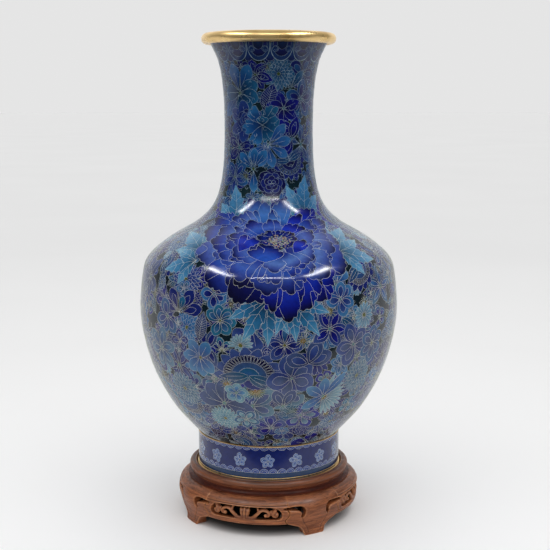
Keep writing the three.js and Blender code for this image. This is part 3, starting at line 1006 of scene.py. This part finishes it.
def wire_material():
    """Thin gilt wire, polished flush, with painted shade that makes it bluer and darker up the neck."""
    nodes = Nodes("wire_gilt", Metallic=0.2)
    height = nodes.add("ShaderNodeSeparateXYZ", Vector=nodes.place(1)).outputs["Z"]
    grain = nodes.noise(0.2)
    bright, shaded_tone = [nodes.ramp(grain, list(zip((0.35, 0.65), shades(codes))))
                    for codes in ("c4c8bc f0f0e2", "708a9c a8bec8")]
    # Painted shade: from 170 to 240 mm up, the wire turns from its lit tone to a bluer, darker one
    nodes.join(nodes.mix(nodes.span(height, 0, 1, 170, 240), bright, shaded_tone), "Base Color")
    nodes.rough(0.3, 0.35, 0.5)
    return nodes.material


def wood_material(name, light, dark, groove, wear_and_highlight, polish=0.5):
    """Oiled hardwood: streaks along the board, pores, painted shade in the hollows, rubbed edges that are
    lighter from wear and from a painted highlight, and painted shade on faces marked as inside.
    """
    nodes = Nodes(name, IOR=1.48, Specular_IOR_Level=polish)
    streaks = nodes.noise((0.06, 0.06, 0.75), 6, 0.62, 0.6)
    base = nodes.ramp(streaks, [(0.3, dark), (0.5, (light + dark) / 2), (0.68, light)])
    pores = nodes.span(nodes.noise((0.35, 0.35, 4.0)), 0, 0.8, 0.55, 0.7)
    grained = nodes.mix(pores, base, groove)
    edge = nodes.add("ShaderNodeNewGeometry").outputs["Pointiness"]
    # Painted shade: hollows, where pointiness is low, are darkened
    hollow = nodes.mix(nodes.span(edge, 0.92, 0, 0.44, 0.495), grained, groove * 0.5)
    # Worn edges: real wear, and also a painted highlight where pointiness is high
    rubbed = nodes.mix(nodes.span(edge, 0, 0.75, 0.51, 0.56), hollow, wear_and_highlight)
    # Painted shade on the faces inside the carving's openings
    inside = nodes.add("ShaderNodeAttribute", {"attribute_name": "inside"}).outputs["Fac"]
    nodes.join(nodes.mix(inside, rubbed, groove * 0.12), "Base Color")
    nodes.rough((0.2, 0.2, 0.9), 0.34, 0.55, 4)
    nodes.wear(0.35, 0.15, nodes.noise((0.3, 0.3, 2.2), 4))
    return nodes.material


enamel = enamel_material()
lining_enamel = plain_enamel_material("lining_enamel", *shades("1f5f86 2f86a6"))
base_enamel = plain_enamel_material("base_enamel", *shades("15307a 22489a"))
gilt = gilt_material("gilt", *shades("fcd894 d4ae68"))
wire_gilt = wire_material()
copper = gilt_material("copper", *shades("c98a63 8a4f32"))
rosewood = wood_material("rosewood", *shades("a8653d 592c19 2a1109 c88a5c"), 0.35)
ring_wood = wood_material("ring_wood", *shades("8a4c2c 4e2616 200d07 b0774c"), 0.4)
# Painted shade: a darker copy of the wood, for the cove and the deck, which lie in shade
shaded_wood = wood_material("shaded_wood", *shades("5a2414 30120a 120504 6a341e"), 0.1)
bamboo = wood_material("bamboo", *shades("d4b888 b08f5c 6b4f2c e0c898"))


# ---------------------------------------------------------------- vase


# Height in mm where the belly's patches of skin end and the throat's begin
SKIN_SPLIT = 226
# Width of the wires, how proud of the enamel they stand, and how deep they go, in mm
WIRE, HEAD_WIRE, FOOT_WIRE = (0.25, 0.06, 0.05), (0.4, 0.08, 0.05), (0.25, 0.05, 0.05)
WIRE_STEP, FOOT_WIRE_STEP = 0.9, 0.6


def build_enamel():
    """The painted skin of body, neck and foot, in patches, and its wires."""
    canvas = paint_vase()
    split = int(vase_wall.run_at(SKIN_SPLIT) / canvas.row_mm) // ROW_STEP * ROW_STEP
    for part, patches, low, high, step in (
            ("belly", 4, 0, split, 2), ("throat", 2, split, canvas.rows - 1, 4)):
        wide = canvas.columns // patches
        for k in range(patches):
            patch = skin(f"enamel_{part}_{k + 1}", canvas, low, high, k * wide, (k + 1) * wide, step)
            dress(patch, enamel, "vase", "enamel", "enamel_body", "enamel_neck_border")
    stretches = wire_runs(canvas, WIRE_STEP)
    sectors = 6
    for k in range(sectors):
        mine = [s for s in stretches if int((s[0][0] % FULL) / FULL * sectors) == k]
        dress(wires(f"wires_{k + 1}", canvas, mine, *WIRE), wire_gilt, "vase", "gilt")
    edges = [canvas.place(Pose(way, vase_wall.length), scroll_edge(*CLOUD_SIZE, 1.02))
             for way in around(CLOUD_HEADS, CLOUD_START)]
    heads = wires("wire_cloud_heads", canvas, edges, *HEAD_WIRE)
    dress(heads, wire_gilt, "vase", "gilt", "wire_neck_border")
    band = paint_foot()
    foot = skin("enamel_foot_band", band, 0, band.rows - 1, 0, band.columns, 4)
    dress(foot, enamel, "vase", "enamel", "enamel_foot")
    stretches = wire_runs(band, FOOT_WIRE_STEP)
    dress(wires("wires_foot", band, stretches, *FOOT_WIRE), wire_gilt, "vase", "gilt")


build_enamel()


# ---------------------------------------------------------------- turned wood, gilt and plain enamel


def turned_piece(name, profile, segments=320, closed=True):
    """A profile of (radius, height) pairs in mm turned about the axis."""
    profile = np.array(profile, float)
    if closed:
        profile = np.vstack([profile, profile[:1]])
    turn = np.linspace(0, FULL, segments, endpoint=False)
    radius, height = profile[:, 0][:, None], profile[:, 1][:, None]
    points = np.stack([radius * np.sin(turn), -radius * np.cos(turn), height + 0 * turn], axis=-1)
    corner = np.arange(len(profile) * segments).reshape(len(profile), segments)
    beside = np.roll(corner, -1, axis=1)
    faces = np.stack([corner[:-1], beside[:-1], beside[1:], corner[1:]], axis=-1).reshape(-1, 4)
    piece = new_object(name, points.reshape(-1, 3), faces)
    mend(piece)
    return piece


def mend(piece):
    """Merges doubled vertices and drops faces without area."""
    cage = bmesh.new()
    cage.from_mesh(piece.data)
    bmesh.ops.remove_doubles(cage, verts=cage.verts, dist=1e-7)
    bmesh.ops.dissolve_degenerate(cage, edges=cage.edges, dist=1e-7)
    cage.to_mesh(piece.data)
    cage.free()
    piece.data.polygons.foreach_set("use_smooth", np.ones(len(piece.data.polygons), bool))


def arc(centre, radius, start, end, points):
    """Points on an arc, angles in degrees from outward towards up."""
    angle = np.radians(np.linspace(start, end, points))
    return np.stack([centre[0] + radius * np.cos(angle), centre[1] + radius * np.sin(angle)], axis=1)


def build_metal():
    """The rolled lip, the foot rim and the fine wires that ring the foot band at its edges."""
    tube = (lip_high[2] - lip_low[2]) / 2
    centre = (lip_high[0] - tube, lip_low[2] + tube)
    lip = turned_piece("gilt_lip", arc(centre, tube, 0, 345, 24))
    dress(lip, gilt, "vase", "gilt", "lip_ring")
    outer, low, high = rim_high[0], rim_low[2], rim_high[2]
    inner = foot_high[0] - 2.1
    rim = turned_piece("gilt_foot_rim", [
        (inner, low + 0.4), (inner + 0.4, low), *arc((outer - 0.9, low + 0.9), 0.9, -90, 0, 5),
        *arc((outer - 0.6, high - 1.1), 0.6, 0, 90, 5), (foot_high[0] - 0.4, high - 0.5),
        (inner, high - 0.5)])
    dress(rim, gilt, "vase", "gilt", "foot_rim")
    for edge, height, half in (("top", foot_high[2] - 0.1, 0.3), ("bottom", foot_low[2] + 0.1, 0.25)):
        hoop = turned_piece(f"hoop_foot_{edge}", arc((foot_high[0], height), half, 0, 324, 10))
        dress(hoop, gilt, "vase", "gilt", f"wire_foot_{edge}")


# How far the face of the counter-enamel lies under the outer enamel, in mm
LINING_DEPTH = 2.8


def build_inside():
    """Counter-enamel inside the vase, and the enamelled base."""
    runs = np.linspace(0, vase_wall.length, 90)
    points, normals = vase_wall.frame_at(np.zeros_like(runs), runs)
    inside = points - normals * LINING_DEPTH
    wall = np.stack([-inside[:, 1], inside[:, 2]], axis=1)
    floor, well = lining_floor + 0.6, foot_high[0] - LINING_DEPTH
    profile = [(0, floor), (well - 2, floor), (well, floor + 2), (well, body_low[2] - 1), *wall]
    lining = turned_piece("counter_enamel", np.array(profile)[::-1], 256, closed=False)
    dress(lining, lining_enamel, "vase", "lining_enamel", "enamel_lining")
    low, radius = base_low[2], base_high[0]
    profile = [(0, low), (radius - 1.5, low), (radius, low + 0.4), (radius, low + 0.7), (0, low + 0.7)]
    base = turned_piece("base_enamel", profile, 200, closed=False)
    dress(base, base_enamel, "vase", "enamel", "enamel_base")


def build_turned_stand():
    """The ring, its cove and the deck."""
    nose, low, top = ring_high[0], ring_low[2], ring_high[2]
    inner = nose - 4.9
    ring = turned_piece("stand_ring", [
        (inner, low), (nose - 1.9, low), *arc((nose - 1.5, low + 0.35), 0.4, -80, 0, 4),
        *arc((nose - 2.5, top - 2.75), 2.5, -38, 78, 12),
        (nose - 3.2, top - 0.62), (nose - 3.55, top - 0.62),
        *arc((nose - 4.25, top - 0.45), 0.45, 20, 160, 7), (inner, top - 0.7)])
    dress(ring, ring_wood, "stand", "rosewood", "stand_top_ring")
    base, top, wide = waist_low[2], waist_high[2], waist_high[0]
    deep, bore = wide - 2.4, 46
    cove = spline([(wide, base + 0.5), (wide - 1.2, base + 1.1), (deep + 0.1, base + 2.2), (deep, top)], 5)
    waist = turned_piece("stand_cove", [
        (bore, base), (wide - 0.2, base), *cove, (inner, top), (inner, base + 1.3), (bore, base + 1.3)])
    dress(waist, shaded_wood, "stand", "rosewood", "stand_waist")
    low, high, radius = deck_low[2], deck_high[2], deck_high[0]
    profile = [(0, low), (radius, low), (radius, high - 0.4), (radius - 0.4, high), (0, high)]
    deck = turned_piece("deck_board", profile, 200, closed=False)
    dress(deck, shaded_wood, "stand", "rosewood", "stand_deck")


# ---------------------------------------------------------------- carved aprons and legs

# Each board is drawn flat, bent round the axis at GIRTH_R, and fitted between BACK and FACE, which are
# pairs of radius and height. Across the board, points are in degrees from its middle.
GIRTH_R = 61.0
BOARD = 8.0
FACE = [(61.7, 0), (62.3, 5), (63.0, 10), (64.3, 15), (64.8, 18.5), (64.2, 22.2), (62.2, 25.2),
        (58.3, 27.3)]
BACK = [(54.0, 0), (55.6, 5), (56.6, 10), (56.6, 17), (50.5, 20.5), (50.5, 27.3)]
BOTTOM, TOP = 9.4, 27.3
LEG_DEG, SOLE_DEG, PANEL_DEG, LAP_DEG = 18.15, 6.4, 26.55, 0.4
# Heights of the slot between leg and apron, and of the foot of the lap over it
SLOT_LOW, SLOT_HIGH, LAP_LOW = 19.6, 21.3, 21.8
PANEL_TURNS = (345, 75, 165, 255)
LEG_TURNS = (30, 120, 210, 300)
VOXEL = 0.4
# Depth from a board's back where relief begins and over which it grows, and the same for the painted
# shade inside its openings, which lies above a height
RELIEF_FROM, RELIEF_GROWTH = 4.5, 2.5
SHADE_FROM, SHADE_GROWTH, SHADE_ABOVE = 4.6, 1.6, 9.8


def girth(degrees, height):
    """Board coordinates of an angle from the piece's middle and a height."""
    return math.radians(degrees) * GIRTH_R, height


def both_sides(right):
    """A closed outline from its right half, bottom to top."""
    right = [girth(*point) for point in right]
    return right + [(-x, z) for x, z in reversed(right)]


def plate(outlines, front, back):
    """Mesh of a flat board with rounded edges: closed outlines, filled even-odd."""
    curve = bpy.data.curves.new("plate", "CURVE")
    curve.dimensions, curve.fill_mode = "2D", "BOTH"
    round_over = 0.55
    curve.extrude = (front - back) / 2 - round_over
    curve.bevel_depth, curve.bevel_resolution, curve.offset = round_over, 2, -round_over
    for outline in outlines:
        line = curve.splines.new("POLY")
        line.points.add(len(outline) - 1)
        for point, (x, z) in zip(line.points, outline):
            point.co = (x, z, 0, 1)
        line.use_cyclic_u = True
    holder = bpy.data.objects.new("plate", curve)
    mesh = bpy.data.meshes.new_from_object(holder)
    cage = bmesh.new()
    cage.from_mesh(mesh)
    bmesh.ops.remove_doubles(cage, verts=cage.verts, dist=1e-4)
    bmesh.ops.triangulate(cage, faces=cage.faces)
    points = np.array([v.co for v in cage.verts])
    points[:, 2] += (front + back) / 2
    faces = np.array([[v.index for v in f.verts] for f in cage.faces])
    cage.free()
    bpy.data.objects.remove(holder)
    bpy.data.meshes.remove(mesh)
    return points, faces


def sweep(path, radii, sides=12):
    """A round bar along a path of (x, z, depth), closed at both ends."""
    path = np.asarray(path, float)
    along = np.gradient(path, axis=0)
    along /= np.linalg.norm(along, axis=1, keepdims=True)
    out = np.array([0, 0, 1.0])
    side = np.cross(along, out)
    side /= np.linalg.norm(side, axis=1, keepdims=True)
    up = np.cross(side, along)
    angle = np.linspace(0, FULL, sides, endpoint=False)[None, :, None]
    ring = np.asarray(radii)[:, None, None] * (side[:, None] * np.cos(angle) + up[:, None] * np.sin(angle))
    points = (path[:, None] + ring).reshape(-1, 3)
    corner = np.arange(len(points)).reshape(len(path), sides)
    beside = np.roll(corner, -1, axis=1)
    quads = np.stack([corner[:-1], corner[1:], beside[1:], beside[:-1]], axis=-1).reshape(-1, 4)
    faces = np.vstack([quads[:, [0, 1, 2]], quads[:, [0, 2, 3]]])
    ends = [np.array([[ring_of[0], ring_of[k], ring_of[k + 1]] for k in range(1, sides - 1)])
            for ring_of in (corner[0], corner[-1][::-1])]
    return points, np.vstack([faces, *ends])


def pod(centre, half, lean=0.0):
    """An egg-shaped swelling, leaned in the plane of the board."""
    share = np.linspace(0.02, 0.98, 11)
    axis = np.stack([np.zeros(11), (share * 2 - 1) * half[1], np.zeros(11)], axis=1)
    axis[:, :2] = turned_by(axis[:, :2], lean)
    radii = half[0] * np.sqrt(1 - (share * 2 - 1) ** 2)
    return sweep(axis + np.array(centre), radii)


def carve(name, shapes, relief, turn):
    """Unites closed shapes into one carved board, adds relief and wraps it round the stand."""
    offset, points, faces = 0, [], []
    for shape_points, shape_faces in shapes:
        points.append(shape_points)
        faces.append(shape_faces + offset)
        offset += len(shape_points)
    rough = new_object("rough", np.vstack(points) / MM, np.vstack(faces))
    remesh = rough.modifiers.new("unite", "REMESH")
    remesh.mode, remesh.voxel_size = "VOXEL", VOXEL
    soften = rough.modifiers.new("soften", "SMOOTH")
    soften.factor, soften.iterations = 0.5, 4
    united = rough.evaluated_get(bpy.context.evaluated_depsgraph_get()).to_mesh()
    flat = np.zeros(len(united.vertices) * 3)
    united.vertices.foreach_get("co", flat)
    flat = flat.reshape(-1, 3)
    quads = np.array([polygon.vertices[:] for polygon in united.polygons])
    bpy.data.objects.remove(rough)
    across, height, depth = flat.T
    front = np.clip((depth - RELIEF_FROM) / RELIEF_GROWTH, 0, 1)
    depth = depth + front * relief(across, height)
    face = np.interp(height, *spline([(z, r) for r, z in FACE]).T)
    back = np.interp(height, *np.array([(z, r) for r, z in BACK]).T)
    radius = back + (face - back) * depth / BOARD
    angle = math.radians(turn) + across / GIRTH_R
    bent = np.stack([radius * np.sin(angle), -radius * np.cos(angle), height], axis=1)
    piece = new_object(name, bent, quads)
    # Painted shade: the attribute darkens the faces deep inside the openings, above SHADE_ABOVE
    inside = piece.data.attributes.new("inside", "FLOAT", "POINT")
    shade = np.clip((SHADE_FROM - flat[:, 2]) / SHADE_GROWTH, 0, 1)
    inside.data.foreach_set("value", shade * (height > SHADE_ABOVE))
    return piece


def groove(across, height, line, width, depth):
    """Depth of a cut along a line of board points."""
    line = np.asarray(line, float)
    nearest = np.full(len(across), 99.0)
    for a, b in zip(line[:-1], line[1:]):
        way = b - a
        x, z = across - a[0], height - a[1]
        share = np.clip((x * way[0] + z * way[1]) / (way @ way), 0, 1)
        nearest = np.minimum(nearest, np.hypot(x - share * way[0], z - share * way[1]))
    return -depth * np.exp(-((nearest / width) ** 2))


def seam(degrees, side):
    """The S-curved joint between apron and leg, from the bottom up to the slot."""
    rise = SLOT_LOW - BOTTOM
    return [(degrees + side * 1.5 * math.sin(FULL * share) * (1 - 0.3 * share), BOTTOM + share * rise)
            for share in np.linspace(0, 0.96, 9)]


def lap(degrees):
    """The upright edge of a board above the slot, a little past the joint."""
    return [(degrees + LAP_DEG, height) for height in (LAP_LOW, TOP)]


def panel_shapes():
    """Pierced apron: frame, lotus bud and two mirrored vine scrolls."""
    slot = [(PANEL_DEG, SLOT_LOW), (24.6, 19.8), (23.9, 20.4), (24.6, 21.1), (PANEL_DEG, SLOT_HIGH)]
    outer = both_sides([*seam(PANEL_DEG, -1), *slot, *lap(PANEL_DEG)])
    opening = both_sides([(19.5, 12.9), (21.6, 13.3), (22.9, 14.6), (23.2, 16.6), (22.6, 18.6),
                          (21.4, 19.9), (20.2, 21.0), (16, 21.8), (5, 21.9)])
    shapes = [plate([outer, opening], BOARD, 0.6)]
    for side in (-1, 1):
        hook = spline([(19.6, 22.4), (19.0, 19.6), (17.7, 17.2), (18.4, 15.5), (19.9, 15.6),
                       (20.1, 17.0)], 7)
        wave = spline([(1.6, 13.4), (5.0, 14.0), (7.6, 16.6), (10.2, 19.2), (13.2, 19.3), (15.2, 17.4),
                       (14.6, 15.6), (13.0, 15.9)], 7)
        twig = spline([(8.6, 17.6), (8.4, 19.8), (7.4, 21.9)], 7)
        for path, thick, thin in ((hook, 1.5, 0.95), (wave, 1.35, 0.85), (twig, 0.9, 0.7)):
            bar = [(*girth(side * degrees, height), 6.0) for degrees, height in path]
            shapes.append(sweep(bar, np.linspace(thick, thin, len(bar))))
        for degrees, height, size in ((20.0, 16.9, 1.35), (13.1, 15.9, 1.3), (16.6, 18.6, 0.9)):
            shapes.append(pod((*girth(side * degrees, height), 6.0), (size, size)))
        shapes.append(pod((side * 1.7, 17.2, 5.9), (1.55, 4.1), side * 16))
    shapes.append(pod((0, 17.4, 6.3), (1.5, 4.4)))
    shapes.append(pod((0, 13.6, 5.8), (2.0, 1.5)))
    return shapes


def panel_relief(across, height):
    """Lines along the frame of an apron, and the two folds of its bud."""
    edge = girth(PANEL_DEG, 0)[0]
    cuts = 0
    for line, width, depth in ((22.9, 0.35, 0.35), (12.2, 0.3, 0.25), (10.2, 0.3, 0.2)):
        cuts += groove(across, height, [(-edge, line), (edge, line)], width, depth)
    for side in (-1, 1):
        cuts += groove(across, height, [(side * 0.8, 14), (side * 1.0, 17), (side * 0.6, 20.5)], 0.25, 0.4)
    return cuts


def leg_shapes():
    """Cabriole leg with a hooked slot at each side."""
    ankle = spline([(SOLE_DEG, 0), (SOLE_DEG + 0.9, 0.9), (SOLE_DEG + 1.6, 3.2), (10.4, 6.2), (14.6, 8.0),
                    (LEG_DEG, BOTTOM)], 5)[:-1]
    slot = spline([(LEG_DEG, SLOT_LOW), (14.2, 19.2), (11.2, 18.6), (9.6, 17.0), (9.9, 15.0), (9.4, 13.6),
                   (8.2, 14.3), (7.2, 16.8), (7.6, 19.8), (9.6, 21.5), (13.2, 21.8), (LEG_DEG, SLOT_HIGH)], 5)
    return [plate([both_sides([*ankle, *seam(LEG_DEG, 1), *slot, *lap(LEG_DEG)])], BOARD, 0)]


def leg_relief(across, height):
    """A full knee, a rolled toe and two lines down each side of a leg."""
    swell = 0.9 * np.exp(-(((height - 17) / 8) ** 2)) * np.exp(-((across / 9) ** 2))
    toe = 1.3 * np.clip((4.5 - height) / 4.5, 0, 1) ** 1.5
    cuts = swell + toe
    inner_line = [(9.0, 13.2), (7.6, 9.5), (5.2, 5.5), (4.2, 2.0)]
    outer_line = [(16.5, 10.4), (11.5, 8.6), (8.2, 5.6), (6.6, 2.6)]
    for side in (-1, 1):
        for line, width, depth in ((inner_line, 0.4, 0.45), (outer_line, 0.35, 0.3)):
            path = spline([girth(side * degrees, z) for degrees, z in line], 5)
            cuts += groove(across, height, path, width, depth)
    return cuts


def build_carving():
    """The four aprons and the four legs."""
    for name, node, shapes, relief, turns in (
            ("carved_apron", "apron_panel", panel_shapes(), panel_relief, PANEL_TURNS),
            ("carved_leg", "leg", leg_shapes(), leg_relief, LEG_TURNS)):
        for k, turn in enumerate(turns):
            piece = carve(f"{name}_{k + 1}", shapes, relief, turn)
            dress(piece, rosewood, "stand", "rosewood", f"{node}_{k + 1}")


build_metal()
build_inside()
build_turned_stand()
build_carving()


# ---------------------------------------------------------------- staging, light and camera


# Brightness of the plain backdrop, which the table runs into
BACKDROP = 0.785


def stage_floor():
    """A wide pale table with painted light, brighter near the stand and fading to the backdrop far off, and a
    painted shadow, nearly black, under the stand. Only its back part is mirrored in the vase, as the room in
    front is dim.
    """
    nodes = Nodes("table", Roughness=1.0, Specular_IOR_Level=0.0)
    cloth = nodes.ramp(nodes.noise(0.002), [(0.3, grey(0.98)), (0.7, grey(1.0))])
    away = nodes.add("ShaderNodeVectorMath", {"operation": "LENGTH"}, Vector=nodes.place((1, 1, 0)))
    out, under = [nodes.span(away.outputs["Value"], 0, 1, *ends) for ends in ((150, 1400), (36, 60))]
    # Painted light: brightest near the stand, fading to the backdrop's brightness far off
    painted_light = nodes.ramp(out, [(0, grey(0.97)), (0.35, grey(0.86)), (1, grey(BACKDROP))])
    # Painted shadow: nearly black under the stand, gone beyond 60 mm from the axis
    painted_shadow = nodes.ramp(under, [(0, grey(0.02)), (0.5, grey(0.2)), (1, grey(1))])
    shaded = nodes.mix(1.0, painted_light, painted_shadow, "MULTIPLY")
    nodes.join(nodes.mix(1.0, shaded, cloth, "MULTIPLY"), "Base Color")
    reach, seam_line = 24000, -182  # mm the table runs each way, and the line where its two boards meet
    for name, near, far in (("table", seam_line, reach), ("table_front", -reach, seam_line)):
        corners = [(-reach, near, 0), (reach, near, 0), (reach, far, 0), (-reach, far, 0)]
        board = new_object(name, corners, [(0, 1, 2, 3)], smooth=False)
        board.data.materials.append(nodes.material)
        board.visible_glossy = board.visible_diffuse = name == "table"


def lamp(name, kind, at, target, strength, **settings):
    """A light that looks from one point to another, both in millimetres."""
    light = bpy.data.lights.new(name, kind)
    light.energy = strength
    for key, value in settings.items():
        setattr(light, key, value)
    holder = bpy.data.objects.new(name, light)
    holder.location = np.array(at) * MM
    away = np.array(at, float) - np.array(target, float)
    holder.rotation_euler = (math.acos(away[2] / np.linalg.norm(away)), 0,
                             math.atan2(away[1], away[0]) + math.pi / 2)
    bpy.context.scene.collection.objects.link(holder)
    return holder


def strip(name, at, wide, long, strength):
    """A strip lamp that looks down and shows only as a reflection."""
    holder = lamp(name, "AREA", at, (*at[:2], 0), strength, shape="RECTANGLE", size=wide, size_y=long)
    holder.rotation_euler = (0, 0, 0)
    holder.visible_camera = holder.visible_diffuse = False


def light_tent():
    """Bright cloth beside and behind, a dim room in front, and lamps overhead."""
    world = bpy.data.worlds.new("tent")
    world.use_nodes = True
    tree = world.node_tree
    background = tree.nodes["Background"]
    way = tree.nodes.new("ShaderNodeTexCoord")
    parts = tree.nodes.new("ShaderNodeSeparateXYZ")
    tree.links.new(way.outputs["Generated"], parts.inputs[0])
    fall = tree.nodes.new("ShaderNodeMapRange")
    fall.interpolation_type = "SMOOTHSTEP"
    for socket, value in (("From Min", 0.3), ("From Max", 0.8), ("To Min", 0.08), ("To Max", 0.93)):
        fall.inputs[socket].default_value = value
    tree.links.new(parts.outputs["Y"], fall.inputs["Value"])
    rays = tree.nodes.new("ShaderNodeLightPath")
    seen = tree.nodes.new("ShaderNodeMix")
    tree.links.new(rays.outputs["Is Camera Ray"], seen.inputs[0])
    tree.links.new(fall.outputs["Result"], seen.inputs[2])
    seen.inputs[3].default_value = BACKDROP
    tree.links.new(seen.outputs[0], background.inputs["Strength"])
    background.inputs["Color"].default_value = (1, 1, 1, 1)
    bpy.context.scene.world = world
    sky = lamp("sky", "SUN", (0, -560, 1000), (0, 0, 0), 2.8, angle=math.radians(110))
    sky.visible_glossy = False
    for side in (-1, 1):
        for wide, long, power in ((0.034, 0.34, 1.1), (0.06, 0.38, 0.8), (0.11, 0.42, 0.7)):
            strip(f"tube_{side}", (side * 318, -250, 600), wide, long, power)
    bulbs, row_width, row_middle = 22, 430, 30
    for k in range(bulbs):
        across = row_middle + row_width * ((k + 0.5) / bulbs - 0.5)
        strip("bulb", (across, -556, 600), 0.009, 0.04, 0.085)
    bpy.context.scene.view_settings.view_transform = "Standard"


# The camera: focal length in widths of the picture, mm in front of the axis and above the table, and tilt
FOCAL, AWAY, ABOVE, TILT = 1114 / 550, 776.6, 292.2, 8.95


def place_camera():
    """The camera of the photo, worked out from the ellipses of lip, foot and stand."""
    camera = bpy.data.cameras.new("camera")
    camera.sensor_width = 36
    camera.lens = camera.sensor_width * FOCAL
    camera.shift_x = 0.0115
    holder = bpy.data.objects.new("camera", camera)
    holder.location = (0, -AWAY * MM, ABOVE * MM)
    holder.rotation_euler = (math.radians(90 - TILT), 0, 0)
    bpy.context.scene.collection.objects.link(holder)
    bpy.context.scene.camera = holder


stage_floor()
light_tent()
place_camera()

finishes = {"gilt": gilt, "copper": copper, "enamel": base_enamel, "lining_enamel": lining_enamel,
            "rosewood": rosewood, "bamboo": bamboo}
slots = {entry["node"]: entry["material_slot"] for entry in frame["record"]["subparts"]}
for node, piece in frame["nodes"].items():
    piece.data.materials.clear()
    piece.data.materials.append(finishes[slots[node]])
